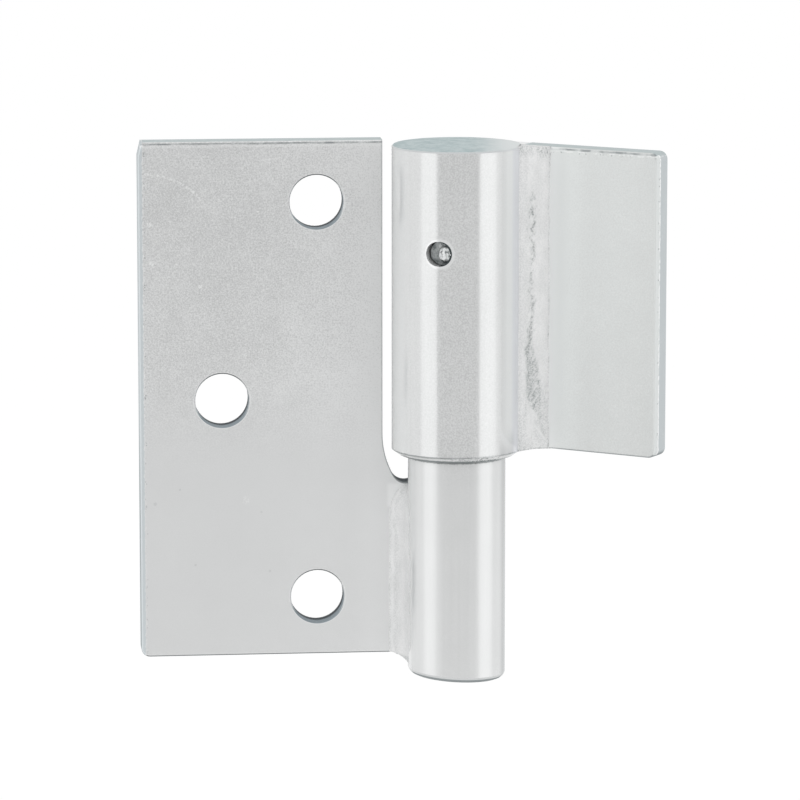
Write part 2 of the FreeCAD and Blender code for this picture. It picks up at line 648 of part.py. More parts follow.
def make_weld_tab():
    body = new_body("weld_tab", "-Sizes.tab_swing")
    length = size("tab_length")
    high = tab_high
    low = high - size("tab_height")
    outline = new_sketch(body, "tab_outline", "XZ_Plane", "-" + SLEEVE_RADIUS)
    points = [(tab_edge, low), (tab_edge + length, low), (tab_edge + length, high), (tab_edge, high)]
    bottom, outer, top, inner = polyline(outline, points)
    level(outline, bottom)
    upright(outline, outer)
    level(outline, top)
    upright(outline, inner)
    right_of_axis(outline, "root", bottom, START, tab_edge, TAB_EDGE)
    dimension(outline, "length", "DistanceX", (bottom, START, bottom, END), length, "Sizes.tab_length")
    above_origin(outline, "high", top, START, high, TAB_HIGH)
    dimension(outline, "height", "DistanceY", (outer, START, outer, END),
              size("tab_height"), "Sizes.tab_height")
    slab = pad(body, "tab_slab", outline, "Sizes.tab_thickness", size("tab_thickness"))
    doc.recompute()

    def free_corner(edge, middle):
        at_end = abs(middle.x - tab_edge - length) < 1e-3
        return at_end and min(abs(middle.z - low), abs(middle.z - high)) < 1e-3

    corners = edges_where(slab.Shape, free_corner)
    rounded = dress(body, "tab_corner_rounds", slab, corners, "Fillet",
                    "Sizes.tab_corner", size("tab_corner"))
    doc.recompute()

    def rolled_edge(edge, middle):
        on_face = min(abs(middle.y - sleeve_radius), abs(middle.y - tab_front)) < 1e-3
        return on_face and middle.x > tab_edge + 1e-3

    rim = edges_where(rounded.Shape, rolled_edge)
    dress(body, "tab_rolled_edges", rounded, rim, "Fillet", "Sizes.stock_edge", size("stock_edge"))
    doc.recompute()
    return body


# Weld beads: each fills its corner between a flat bar and a round one

def make_plate_weld_front():
    body = new_body("plate_weld_front")
    root = (-plate_edge, plate_front)
    toe = (-plate_edge - size("plate_bead_leg"), plate_front)
    ahead = size("plate_bead_ahead")
    pin_toe = (-math.sqrt(pin_radius ** 2 - ahead ** 2), -ahead)
    hollow = size("plate_bead_hollow")
    overrun = size("plate_bead_overrun")

    section = new_sketch(body, "bead_section", "XY_Plane", "-Sizes.plate_bead_overrun")
    flat = section.addGeometry(Part.LineSegment(V(*root, 0), V(*toe, 0)))
    on_pin = section.addGeometry(arc_about((0, 0), pin_radius, root, pin_toe))
    centre = centre_left_of(pin_toe, toe, hollow)
    face = section.addGeometry(arc_about(centre, hollow, pin_toe, toe))
    join(section, flat, START, on_pin, START)
    join(section, on_pin, END, face, START)
    join(section, face, END, flat, END)
    join(section, on_pin, CENTRE, ORIGIN, 1)
    level(section, flat)
    dimension(section, "pin", "Radius", (on_pin,), pin_radius, PIN_RADIUS)
    above_origin(section, "plate_face", flat, START, plate_front, PLATE_FRONT)
    dimension(section, "leg", "DistanceX", (flat, END, flat, START),
              size("plate_bead_leg"), "Sizes.plate_bead_leg")
    below_origin(section, "pin_toe", on_pin, END, ahead, "Sizes.plate_bead_ahead")
    dimension(section, "hollow", "Radius", (face,), hollow, "Sizes.plate_bead_hollow")
    bead = pad(body, "bead", section, "Sizes.notch_floor + Sizes.plate_bead_overrun",
               size("notch_floor") + overrun)
    doc.recompute()

    # Below the plate only a tail on the pin is left
    tail = new_sketch(body, "tail_cut", "XZ_Plane")
    tail_r = size("plate_bead_tail")
    left = (-pin_radius - size("plate_bead_leg"), 0)
    run = size("plate_bead_run")
    tuck = size("plate_bead_tuck")
    start = (-pin_radius + tuck - run, 0)
    low = (-pin_radius + tuck, -overrun)
    arc = tail.addGeometry(arc_about(centre_left_of(low, start, tail_r), tail_r, low, start))
    lines = polyline(tail, [start, left, (left[0], -overrun - 1), (low[0], -overrun - 1), low], closed=False)
    join(tail, arc, END, lines[0], START)
    join(tail, arc, START, lines[3], END)
    on_axis(tail, lines[0], START, X_AXIS)
    level(tail, lines[0])
    upright(tail, lines[1])
    level(tail, lines[2])
    upright(tail, lines[3])
    dimension(tail, "tail", "Radius", (arc,), tail_r, "Sizes.plate_bead_tail")
    dimension(tail, "tail_run", "DistanceX", (lines[0], START, lines[3], END), run, "Sizes.plate_bead_run")
    left_of_axis(tail, "outside", lines[1], START, -left[0], PIN_RADIUS + " + Sizes.plate_bead_leg")
    left_of_axis(tail, "pin_side", lines[3], END, pin_radius - tuck, PIN_RADIUS + " - Sizes.plate_bead_tuck")
    below_origin(tail, "tail_end", lines[3], END, overrun, "Sizes.plate_bead_overrun")
    below_origin(tail, "tail_clear", lines[3], START, overrun + 1, "Sizes.plate_bead_overrun + 1")
    trimmed = cut_through(body, "bead_tail", tail)
    must_cut(bead.Shape.Volume, trimmed)

    # The upper end is rounded off towards the front
    crown = new_sketch(body, "upper_end_cut", "YZ_Plane")
    level_y = plate_front - size("bead_top_flat")
    clear_y = -ahead - 1
    top = size("notch_floor")
    crown_r = size("bead_top_round")
    clear_z = top - crown_r + math.sqrt(crown_r ** 2 - (level_y - clear_y) ** 2)
    bend = crown.addGeometry(arc_about((level_y, top - crown_r), crown_r, (level_y, top), (clear_y, clear_z)))
    rise, over, fall = polyline(
        crown, [(level_y, top), (level_y, top + 1), (clear_y, top + 1), (clear_y, clear_z)], closed=False)
    join(crown, bend, START, rise, START)
    join(crown, bend, END, fall, END)
    upright(crown, rise)
    level(crown, over)
    upright(crown, fall)
    crown.addConstraint(Sketcher.Constraint("PointOnObject", bend, CENTRE, rise))
    dimension(crown, "bend", "Radius", (bend,), crown_r, "Sizes.bead_top_round")
    right_of_axis(crown, "level_part", rise, START, level_y, PLATE_FRONT + " - Sizes.bead_top_flat")
    above_origin(crown, "top", rise, START, top, "Sizes.notch_floor")
    above_origin(crown, "clear_top", rise, END, top + 1, "Sizes.notch_floor + 1")
    left_of_axis(crown, "clear_front", over, END, -clear_y, "Sizes.plate_bead_ahead + 1")
    rounded = cut_through(body, "bead_upper_end", crown)
    must_cut(trimmed.Shape.Volume, rounded)
    return body


def make_wedge_bead(label, turn, side, round_bar, flat_front, flat_edge, low_end, high_end):
    """Bead in the wedge behind a flat bar's inner edge. side is -1 for the plate, 1 for the tab.

    round_bar, flat_front, low_end and high_end are each a value and its expression."""
    radius, radius_rule = round_bar
    front, front_rule = flat_front
    low, low_rule = low_end
    high, high_rule = high_end
    body = new_body(label, turn)
    sink = size("back_bead_sink")
    back = radius - sink
    reach = math.sqrt(radius ** 2 - back ** 2)
    section = new_sketch(body, "wedge_section", "XY_Plane", low_rule)
    root = (side * flat_edge, front)
    heel = (side * flat_edge, back)
    lip = (side * reach, back)
    up = section.addGeometry(Part.LineSegment(V(*root, 0), V(*heel, 0)))
    across = section.addGeometry(Part.LineSegment(V(*heel, 0), V(*lip, 0)))
    ends = (root, lip) if side > 0 else (lip, root)
    arc = section.addGeometry(arc_about((0, 0), radius, *ends))
    first, last = (START, END) if side > 0 else (END, START)
    join(section, up, END, across, START)
    join(section, across, END, arc, last)
    join(section, arc, first, up, START)
    join(section, arc, CENTRE, ORIGIN, 1)
    upright(section, up)
    level(section, across)
    dimension(section, "round_bar", "Radius", (arc,), radius, radius_rule)
    above_origin(section, "front", up, START, front, front_rule)
    above_origin(section, "back", up, END, back, radius_rule + " - Sizes.back_bead_sink")
    pad(body, "wedge", section, "%s - (%s)" % (high_rule, low_rule), high - low)
    doc.recompute()
    return body


def make_tab_weld_front():
    body = new_body("tab_weld_front", "-Sizes.tab_swing")
    low_rule = TAB_HIGH + " - Sizes.tab_height"
    root = (tab_edge, tab_front)
    toe = (tab_edge + size("tab_bead_leg"), tab_front)
    toe_y = size("tab_bead_toe")
    sleeve_toe = (math.sqrt(sleeve_radius ** 2 - toe_y ** 2), toe_y)
    valley = (tab_edge + size("tab_valley_out"), tab_front - size("tab_valley_down"))
    crown = size("tab_bead_crown")

    section = new_sketch(body, "bead_section", "XY_Plane", low_rule)
    flat = section.addGeometry(Part.LineSegment(V(*root, 0), V(*toe, 0)))
    on_sleeve = section.addGeometry(arc_about((0, 0), sleeve_radius, sleeve_toe, root))
    inner_pass = section.addGeometry(
        arc_about(centre_left_of(sleeve_toe, valley, crown), crown, sleeve_toe, valley))
    outer_pass = section.addGeometry(arc_about(centre_left_of(valley, toe, crown), crown, valley, toe))
    join(section, flat, START, on_sleeve, END)
    join(section, on_sleeve, START, inner_pass, START)
    join(section, inner_pass, END, outer_pass, START)
    join(section, outer_pass, END, flat, END)
    join(section, on_sleeve, CENTRE, ORIGIN, 1)
    level(section, flat)
    dimension(section, "sleeve", "Radius", (on_sleeve,), sleeve_radius, SLEEVE_RADIUS)
    above_origin(section, "tab_face", flat, START, tab_front, TAB_FRONT)
    dimension(section, "leg", "DistanceX", (flat, START, flat, END),
              size("tab_bead_leg"), "Sizes.tab_bead_leg")
    above_origin(section, "sleeve_toe", on_sleeve, START, toe_y, "Sizes.tab_bead_toe")
    dimension(section, "valley_out", "DistanceX", (flat, START, outer_pass, START),
              size("tab_valley_out"), "Sizes.tab_valley_out")
    dimension(section, "valley_down", "DistanceY", (outer_pass, START, flat, START),
              size("tab_valley_down"), "Sizes.tab_valley_down")
    dimension(section, "inner_crown", "Radius", (inner_pass,), crown, "Sizes.tab_bead_crown")
    dimension(section, "outer_crown", "Radius", (outer_pass,), crown, "Sizes.tab_bead_crown")
    pad(body, "bead", section, "Sizes.tab_height", size("tab_height"))
    doc.recompute()
    return body


bodies = [
    make_mounting_plate(),
    make_hinge_pin(),
    make_plate_weld_front(),
    make_wedge_bead("plate_weld_back", None, -1, (pin_radius, PIN_RADIUS), (plate_front, PLATE_FRONT),
                    plate_edge, (0, "0"), (size("notch_floor"), "Sizes.notch_floor")),
    make_sleeve(),
    make_weld_tab(),
    make_tab_weld_front(),
    make_wedge_bead("tab_weld_back", "-Sizes.tab_swing", 1, (sleeve_radius, SLEEVE_RADIUS),
                    (tab_front, TAB_FRONT), tab_edge,
                    (tab_high - size("tab_height"), TAB_HIGH + " - Sizes.tab_height"), (tab_high, TAB_HIGH)),
    make_thrust_ball(),
    make_retaining_pin(),
]
doc.recompute()

for item in doc.Objects:
    if "Invalid" in item.State or "Error" in item.State:
        raise RuntimeError("%s could not be built: %s" % (item.Name, item.State))
for body in bodies:
    if body.Shape.isNull() or not body.Shape.isValid() or len(body.Shape.Solids) != 1:
        raise RuntimeError(body.Label + " is not one valid solid")

os.makedirs("parts", exist_ok=True)
for body in bodies:
    body.Shape.exportStep("parts/%s.step" % body.Label)
    box = body.Shape.BoundBox
    print("%-18s volume %8.1f mm3, X %.1f to %.1f, Y %.1f to %.1f, Z %.1f to %.1f"
          % (body.Label, body.Shape.Volume, box.XMin, box.XMax, box.YMin, box.YMax, box.ZMin, box.ZMax))
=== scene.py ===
import json
import math

import bmesh
import bpy
from mathutils import Matrix, Vector, noise


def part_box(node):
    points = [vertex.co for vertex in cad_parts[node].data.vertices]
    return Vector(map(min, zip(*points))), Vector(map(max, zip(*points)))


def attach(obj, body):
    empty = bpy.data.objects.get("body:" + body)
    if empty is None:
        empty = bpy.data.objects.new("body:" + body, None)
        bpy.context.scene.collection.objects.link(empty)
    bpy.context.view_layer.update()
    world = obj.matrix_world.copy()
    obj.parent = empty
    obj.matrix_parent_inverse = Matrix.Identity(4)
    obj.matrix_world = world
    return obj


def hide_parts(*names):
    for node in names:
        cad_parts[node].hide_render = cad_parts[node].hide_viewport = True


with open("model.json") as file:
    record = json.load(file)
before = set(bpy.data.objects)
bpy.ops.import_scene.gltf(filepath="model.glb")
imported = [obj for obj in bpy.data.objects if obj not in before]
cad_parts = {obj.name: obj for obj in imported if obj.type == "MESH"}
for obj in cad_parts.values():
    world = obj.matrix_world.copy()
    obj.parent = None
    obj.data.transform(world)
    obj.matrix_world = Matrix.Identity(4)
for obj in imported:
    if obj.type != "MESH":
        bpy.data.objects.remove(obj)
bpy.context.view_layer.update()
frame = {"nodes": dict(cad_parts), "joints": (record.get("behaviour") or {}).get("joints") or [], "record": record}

print("frame loaded")

# What the frame says about the hinge, in metres

mm = 0.001
nodes = frame["nodes"]
mounts = {mount["name"]: mount for mount in frame["record"]["mounts"]}
axisX, axisY = frame["joints"][0]["pos_m"][:2]
hingeAxis = Vector((axisX, axisY, 0))
pinLow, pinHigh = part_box("hinge_pin")
sleeveLow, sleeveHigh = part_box("sleeve")
plateLow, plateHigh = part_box("mounting_plate")
tabLow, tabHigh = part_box("weld_tab")
retainLow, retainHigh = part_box("retaining_pin")
pinRadius = (pinHigh.x - pinLow.x) / 2
sleeveRadius = (sleeveHigh.x - sleeveLow.x) / 2
plateThick = plateHigh.y - plateLow.y                # the tab is cut from the same flat bar
tabNormal = Vector(mounts["tab_back"]["axis"])       # out of the tab's back face
tabAlong = Vector((tabNormal.y, -tabNormal.x, 0))    # from the sleeve to the tab's free edge
tabFront = Vector(mounts["tab_back"]["pos_m"]).dot(tabNormal) - plateThick

holeRadius = mounts["middle_hole"]["dims"]["r_mm"] * mm
holeStep = mounts["end_holes"]["dims"]["spacing_y_mm"] * mm
endHoles = Vector(mounts["end_holes"]["pos_m"])
boltHoles = [Vector(mounts["middle_hole"]["pos_m"]),
             endHoles + Vector((0, 0, holeStep / 2)),
             endHoles - Vector((0, 0, holeStep / 2))]

# The cross hole is where the retaining pin sits
retainPoints = [v.co.copy() for v in nodes["retaining_pin"].data.vertices]
retainCentre = sum(retainPoints, Vector()) / len(retainPoints)
crossRadius = (retainHigh.z - retainLow.z) / 2
crossPoint = Vector((axisX, axisY, (retainHigh.z + retainLow.z) / 2))
crossOut = Vector((retainCentre.x - axisX, retainCentre.y - axisY, 0)).normalized()

upwards, downwards = (0, 0, 1), (0, 0, -1)
rightInView, leftInView = (0.9955, -0.0954, 0), (-0.9955, 0.0954, 0)     # level, as the photograph is seen


def furthest(nodeName, direction):
    return max(v.co.dot(direction) for v in nodes[nodeName].data.vertices)


def shade(red, green, blue):
    # a colour as a screen shows it, turned into what a shader takes
    return tuple(((value / 255 + 0.055) / 1.055) ** 2.4 for value in (red, green, blue)) + (1.0,)


def smooth(low, high, value):
    part = min(max((value - low) / (high - low), 0.0), 1.0)
    return part * part * (3 - 2 * part)


def mix(first, second, part):
    return first + (second - first) * part


def follow(points, value):
    # straight steps between (value, result) points
    for (low, first), (high, second) in zip(points, points[1:]):
        if value <= high:
            return mix(first, second, min(max((value - low) / (high - low), 0.0), 1.0))
    return points[-1][1]


def rough(x, y, z):
    return noise.noise(Vector((x, y, z)))


# Node graphs: one short call for each node. A part is a number from 0 to 1 that says where something is.

class Graph:
    def __init__(self, name):
        self.material = bpy.data.materials.new(name)
        self.material.use_nodes = True
        self.tree = self.material.node_tree
        self.tree.nodes.clear()
        self.output = self.tree.nodes.new("ShaderNodeOutputMaterial")
        coords = self.add("TexCoord").outputs
        self.place, self.normal = coords["Object"], coords["Normal"]
        self.x, self.y, self.z = self.add("SeparateXYZ", self.place).outputs

    def add(self, kind, *values, **settings):
        # a setting is one of the node's properties, or else one of its inputs
        node = self.tree.nodes.new("ShaderNode" + kind)
        inputs = dict(enumerate(values))
        for name, value in settings.items():
            if hasattr(node, name):
                setattr(node, name, value)
            else:
                inputs[name.replace("_", " ")] = value
        for name, value in inputs.items():
            self.feed(node.inputs[name], value)
        return node

    def feed(self, socket, value):
        if isinstance(value, bpy.types.NodeSocket):
            self.tree.links.new(value, socket)
        else:
            socket.default_value = value

    def math(self, operation, *values):
        return self.add("Math", *values, operation=operation).outputs[0]

    def times(self, result, *values):
        for value in values:
            result = self.math("MULTIPLY", result, value)
        return result

    def plus(self, result, *values):
        for value in values:
            result = self.math("ADD", result, value)
        return result

    def above(self, value, limit):
        return self.math("GREATER_THAN", value, limit)

    def below(self, value, limit):
        return self.math("LESS_THAN", value, limit)

    def without(self, part):
        return self.math("SUBTRACT", 1.0, part)

    def choose(self, part, first, second):
        return self.plus(self.times(first, self.without(part)), self.times(second, part))

    def dot(self, vector, direction):
        return self.add("VectorMath", vector, tuple(direction), operation="DOT_PRODUCT").outputs["Value"]

    def towards(self, direction):
        # how much the surface faces that way
        return self.dot(self.normal, direction)

    def fromPoint(self, x, z):
        # distance from a point of the plate's face
        across, lift = self.plus(self.x, -x), self.plus(self.z, -z)
        return self.math("SQRT", self.plus(self.times(across, across), self.times(lift, lift)))

    def fromAxis(self, direction):
        # distance from the hinge's axis, along a level direction
        return self.plus(self.dot(self.place, direction), -hingeAxis.dot(Vector(direction)))

    def ramp(self, value, fromLow, fromHigh, toLow=0.0, toHigh=1.0):
        node = self.add("MapRange", value, fromLow, fromHigh, toLow, toHigh,
                        interpolation_type="SMOOTHSTEP")
        return node.outputs["Result"]

    def band(self, value, middle, half, soft):
        # 1 within half of the middle, fading to 0 over soft
        away = self.math("ABSOLUTE", self.plus(value, -middle))
        return self.ramp(away, half, half + soft, 1.0, 0.0)

    def noise(self, vector, size, detail=2.0, roughness=0.5):
        node = self.add("TexNoise", Vector=vector, Scale=1 / size, Detail=detail, Roughness=roughness)
        return node.outputs["Fac"]

    def uneven(self, vector, size, detail, roughness, reach):
        # noise on both sides of zero
        return self.times(self.plus(self.noise(vector, size, detail, roughness), -0.5), reach)

    def stretch(self, scale):
        return self.add("Mapping", Vector=self.place, Scale=scale).outputs["Vector"]

    def streaked(self, direction, keep):
        # the coordinates, with distances along one direction shortened
        direction = Vector(direction).normalized()
        back = self.times(self.dot(self.place, direction), keep - 1)
        shift = self.add("VectorMath", tuple(direction), Scale=back, operation="SCALE").outputs["Vector"]
        return self.add("VectorMath", self.place, shift, operation="ADD").outputs["Vector"]

    def blend(self, part, first, second):
        node = self.add("Mix", data_type="RGBA")
        self.feed(node.inputs["Factor"], part)
        self.feed(node.inputs[6], first)                 # the two colour inputs
        self.feed(node.inputs[7], second)
        return node.outputs[2]

    def bump(self, height, distance, strength, normal=None):
        node = self.add("Bump", Height=height, Distance=distance, Strength=strength)
        if normal:
            self.feed(node.inputs["Normal"], normal)
        return node.outputs["Normal"]

    def plated(self, colour, roughness, normal, metallic):
        shader = self.add("BsdfPrincipled", Base_Color=colour, Metallic=metallic, Roughness=roughness,
                          Normal=normal)
        return self.surface(shader)

    def surface(self, shader):
        self.tree.links.new(shader.outputs[0], self.output.inputs["Surface"])
        return self.material


# Zinc plating on rolled flat bar: cloudy, grainy higher up, bluish on cut edges, flecks along the corners

rolledLook = {
    "dark": shade(200, 201, 201),
    "light": shade(232, 233, 233),
    "edge": shade(186, 192, 195),
    "edgeLow": shade(158, 165, 168),
    "topEdge": shade(176, 185, 186),
    "footEdge": shade(78, 84, 86),
    "fleckLight": shade(240, 241, 241),
    "fleckDark": shade(128, 134, 136),
    "grainSize": 0.32 * mm,
    "mottleSize": 2.2 * mm,
    "cloudSize": 8 * mm,
    "hairSize": 0.32 * mm,
    "grainFade": (-16 * mm, 10 * mm),
    "grainLow": 0.08,              # how much of the grain is left below those heights
    "cloudPart": (0.12, 0.34),     # where the grain has faded, and where it is full
    "mottlePart": 0.35,
    "grainPart": 2.9,
    "tone": 0.45,
    "lighter": (0.17, -0.08),      # low down, and at the top
    "footTone": -0.05,
    "hairlines": [(0.78, 0, 0.62), (-0.55, 0, 0.83), (1, 0, 0.05)],
    "hairPart": 0.22,
    "topWorn": 0.45 * mm,          # how far down the painted lines under the top corner reach
    "roughness": (0.34, 0.46),
    "edgeRoughness": 0.85,
    "grainRelief": 0.012 * mm,
    "cloudRelief": 0.05 * mm,
    "metallic": 0.5,
}


def rolledSurface(g, faceNormal, look, extra):
    # cloud, grain, spot, facing and cut stay on the graph, for what is drawn over this
    g.cloud = g.noise(g.place, look["cloudSize"], 3.0)
    g.grain = g.noise(g.place, look["grainSize"], 2.0, 0.75)
    mottle = g.noise(g.place, look["mottleSize"])
    fade = g.ramp(g.z, *look["grainFade"], look["grainLow"], 1.0)
    g.spot = g.times(g.plus(g.grain, -0.5), fade)
    tone = g.plus(g.times(g.plus(g.cloud, -0.5), g.ramp(fade, 0.2, 0.9, *look["cloudPart"])),
                  g.times(g.plus(mottle, -0.5), fade, look["mottlePart"]),
                  g.times(g.spot, look["grainPart"]), look["tone"])
    tone = g.plus(tone, g.ramp(g.z, -22 * mm, 40 * mm, *look["lighter"]),
                  g.ramp(g.z, plateLow.z, -12 * mm, look["footTone"], 0.0), extra)
    colour = g.blend(tone, look["dark"], look["light"])
    g.facing = g.math("ABSOLUTE", g.towards(faceNormal))
    g.cut = g.ramp(g.facing, 0.25, 0.75, 1.0, 0.0)       # 1 on sawn edges and drilled walls
    edge = g.blend(g.ramp(g.z, -20 * mm, 0.0), look["edgeLow"], look["edge"])
    edge = g.blend(g.ramp(g.towards(upwards), 0.3, 0.8), edge, look["topEdge"])
    colour = g.blend(g.cut, colour, edge)
    for direction in look["hairlines"]:
        hairs = g.ramp(g.noise(g.streaked(direction, 0.05), look["hairSize"]), 0.58, 0.68)
        hairs = g.times(hairs, g.ramp(g.cloud, 0.45, 0.60), fade, look["hairPart"])
        colour = g.blend(hairs, colour, look["fleckLight"])
    # faces that look down get painted shade
    return g.blend(g.ramp(g.towards(downwards), 0.2, 0.7), colour, look["footEdge"])


def edgeFlecks(g, distance, along, look, colour, strength):
    # a thin painted highlight along a corner, broken up like wear, with dark chips beside it: distance is how far
    # inside the corner's start a point lies
    distance = g.plus(distance, g.uneven(along, 1.1 * mm, 3.0, 0.7, 0.9 * mm))
    line = g.band(distance, 0.0, 0.06 * mm, 0.16 * mm)
    broken = g.ramp(g.noise(g.place, 0.8 * mm), 0.42, 0.56)
    colour = g.blend(g.times(line, broken, strength), colour, look["fleckLight"])
    beside = g.band(distance, -0.25 * mm, 0.10 * mm, 0.15 * mm)
    chips = g.ramp(g.noise(g.place, 0.45 * mm), 0.60, 0.68)
    return g.blend(g.times(beside, chips, strength), colour, look["fleckDark"])


def finishRolled(g, colour, look):
    # cut edges are duller than the rolled faces
    onFace = g.without(g.cut)
    dull = look["edgeRoughness"]
    roughness = g.ramp(g.grain, 0.3, 0.7, *look["roughness"])
    roughness = g.plus(g.times(g.plus(roughness, -dull), onFace), dull)
    normal = g.bump(g.spot, look["grainRelief"], 0.5)
    normal = g.bump(g.cloud, look["cloudRelief"], 0.3, normal)
    return g.plated(colour, roughness, normal, g.times(onFace, look["metallic"]))


# The plate. Its marks and pits are given by their centres and radii on the face, in millimetres.

plateLook = dict(
    rolledLook,
    cornerLight=shade(206, 213, 216),
    wallFront=shade(146, 156, 162),
    wallBack=shade(60, 67, 72),
    smear=shade(243, 244, 244),
    rubbed=0.40,                   # how much painted light is added towards the sleeve, against its shade and reflection
    rubbedMost=0.2,                # more painted light, added to that right beside the sleeve
    sideWorn=0.95 * mm,            # how far in the worn corner of the free side reaches
    scratch=(-14.8, 30.3, 14.2),   # an arc across the upper corner
    scratchPart=0.85,
    pale=[(-14.0, 34.7, 0.7), (-9.9, 35.2, 0.5), (-13.4, 27.1, 0.9), (-9.0, 26.6, 0.5), (-4.2, 22.6, 0.5),
          (7.1, 37.0, 0.35), (4.5, -19.8, 1.0), (21.5, 32.9, 0.5)],
    pits=[(-13.3, -20.3, 0.5), (-8.4, -17.6, 0.3), (7.5, -22.2, 0.3), (-5.4, -32.6, 0.35),
          (9.2, -34.0, 0.35)],
    pitPart=0.16,
)

# The notch beside the sleeve: a straight side, a sweep below it, and a round floor
notch = {
    "gap": 1.4 * mm,
    "sweep": 17 * mm,              # radius, and how high the centre is above the plate's foot
    "sweepLift": 43.7 * mm,
    "round": 2.8 * mm,
    "roundLift": 36.7 * mm,
}
notchX = axisX - sleeveRadius - notch["gap"]
sweepX, sweepZ = notchX + notch["sweep"], plateLow.z + notch["sweepLift"]
floorZ = plateLow.z + notch["roundLift"]
floorX = sweepX - math.sqrt((notch["sweep"] - notch["round"]) ** 2 - (sweepZ - floorZ) ** 2)


def darkenWalls(g, colour, look):
    # drilled walls and the sawn notch are duller, and painted dark as shade, darkest towards the back
    nearest = 1.0
    for hole in boltHoles:
        nearest = g.math("MINIMUM", nearest, g.fromPoint(hole.x, hole.z))
    drilled = g.times(g.ramp(nearest, holeRadius + 0.02 * mm, holeRadius + 0.2 * mm, 1.0, 0.0), g.cut)
    broken = g.times(g.below(nearest, holeRadius + 0.23 * mm), g.ramp(g.towards(upwards), 0.1, 0.5))
    deep = g.ramp(g.plus(g.y, g.times(g.plus(g.grain, -0.5), 0.8 * mm)), -3.0 * mm, -1.7 * mm)
    wall = g.blend(deep, look["wallFront"], look["wallBack"])
    colour = g.blend(g.math("MAXIMUM", drilled, broken), colour, wall)
    inNotch = g.times(g.above(g.x, notchX + 0.02 * mm), g.cut,
                      g.band(g.z, plateLow.z + 32 * mm, 8 * mm, 6 * mm))
    sawn = g.blend(g.ramp(g.y, -4.4 * mm, -3.0 * mm), look["fleckDark"], look["wallBack"])
    colour = g.blend(inNotch, colour, sawn)
    rim = g.band(g.plus(nearest, -holeRadius - 0.27 * mm), 0.0, 0.04 * mm, 0.1 * mm)
    return g.blend(g.times(rim, 0.6), colour, look["fleckLight"])


def markedAt(g, rag, marks):
    # 1 on the marks
    found = 0.0
    for x, z, radius in marks:
        away = g.plus(g.fromPoint(x * mm, z * mm), rag)
        found = g.math("MAXIMUM", g.ramp(away, radius * 0.4 * mm, radius * mm, 1.0, 0.0), found)
    return found


def markFace(g, colour, look):
    # a pale smear above the bead, then the scratch, the pale marks and the pits
    inFront = g.times(g.facing, g.below(g.y, plateLow.y + plateThick / 2))
    smear = g.times(g.ramp(g.x, axisX - 13.6 * mm, axisX - 12.6 * mm),
                    g.band(g.z, plateLow.z + 31.5 * mm, 1.8 * mm, 1.0 * mm), g.above(inFront, 0.5))
    colour = g.blend(g.times(smear, 0.9), colour, look["smear"])
    ragged = g.uneven(g.place, 0.7 * mm, 3.0, 0.8, 1.6 * mm)
    scratchX, scratchZ, radius = (value * mm for value in look["scratch"])
    onArc = g.plus(g.fromPoint(scratchX, scratchZ), -radius, g.times(ragged, 0.35))
    onArc = g.times(g.band(onArc, 0.0, 0.12 * mm, 0.22 * mm), g.above(g.x, scratchX),
                    g.ramp(g.z, 36.5 * mm, 40 * mm, 0.0, look["scratchPart"]))
    flecked = g.ramp(g.noise(g.place, 0.4 * mm), 0.44, 0.58)
    pale = g.math("MAXIMUM", markedAt(g, ragged, look["pale"]), onArc)
    pale = g.times(pale, flecked, inFront, g.ramp(g.z, -16 * mm, 0.0, 0.45, 0.85))
    colour = g.blend(pale, colour, look["fleckLight"])
    pits = g.times(markedAt(g, g.times(ragged, 0.5), look["pits"]), inFront, look["pitPart"])
    return g.blend(pits, colour, look["fleckDark"])


def cornerWearAndLight(g, colour, look, onFace, rag):
    # the worn corner at the free side, with a broken painted highlight along it; under the top edge a broken
    # painted highlight, a line of painted shade and a pale painted highlight line
    sideGap = g.plus(g.times(g.x, -1.0), plateLow.x + look["sideWorn"], rag)
    colour = g.blend(g.times(g.ramp(sideGap, 0.0, 0.12 * mm), onFace, 0.85), colour, look["cornerLight"])
    strength = g.ramp(g.z, -24 * mm, 8 * mm, 0.28, 0.6)
    colour = edgeFlecks(g, sideGap, g.stretch((0.2, 0.2, 1)), look, colour, strength)
    topGap = g.plus(g.z, look["topWorn"] - plateHigh.z)
    lengthwise = g.stretch((1, 0.2, 0.2))
    colour = edgeFlecks(g, g.plus(topGap, 0.35 * mm), lengthwise, look, colour, 0.35)
    topGap = g.plus(topGap, rag)
    patchy = g.ramp(g.noise(lengthwise, 2.6 * mm, 5.0, 0.65), 0.36, 0.66, 0.18, 0.80)
    dark = g.times(g.band(topGap, 0.0, 0.10 * mm, 0.12 * mm), onFace, patchy)
    colour = g.blend(dark, colour, look["fleckDark"])
    pale = g.times(g.band(topGap, -0.55 * mm, 0.12 * mm, 0.2 * mm), onFace, 0.35)
    return g.blend(pale, colour, look["fleckLight"])


def lineNotch(g, colour, look, onFace, rag):
    # a thin dark line on the face along the notch
    inSweep = g.plus(g.fromPoint(sweepX, sweepZ), -notch["sweep"])
    inRound = g.plus(g.fromPoint(floorX, floorZ), -notch["round"])
    beside = g.choose(g.above(g.x, floorX - 2.4 * mm), inSweep, inRound)
    beside = g.choose(g.above(g.z, sweepZ), beside, g.plus(g.times(g.x, -1.0), notchX))
    line = g.times(g.band(g.plus(beside, g.times(rag, 0.3)), 0.0, 0.10 * mm, 0.14 * mm), onFace)
    line = g.times(line, g.above(g.z, floorZ - notch["round"] - 0.3 * mm),
                   g.ramp(g.z, sweepZ - 8 * mm, sweepZ + 4 * mm, 0.85, 0.55))
    return g.blend(line, colour, look["fleckDark"])


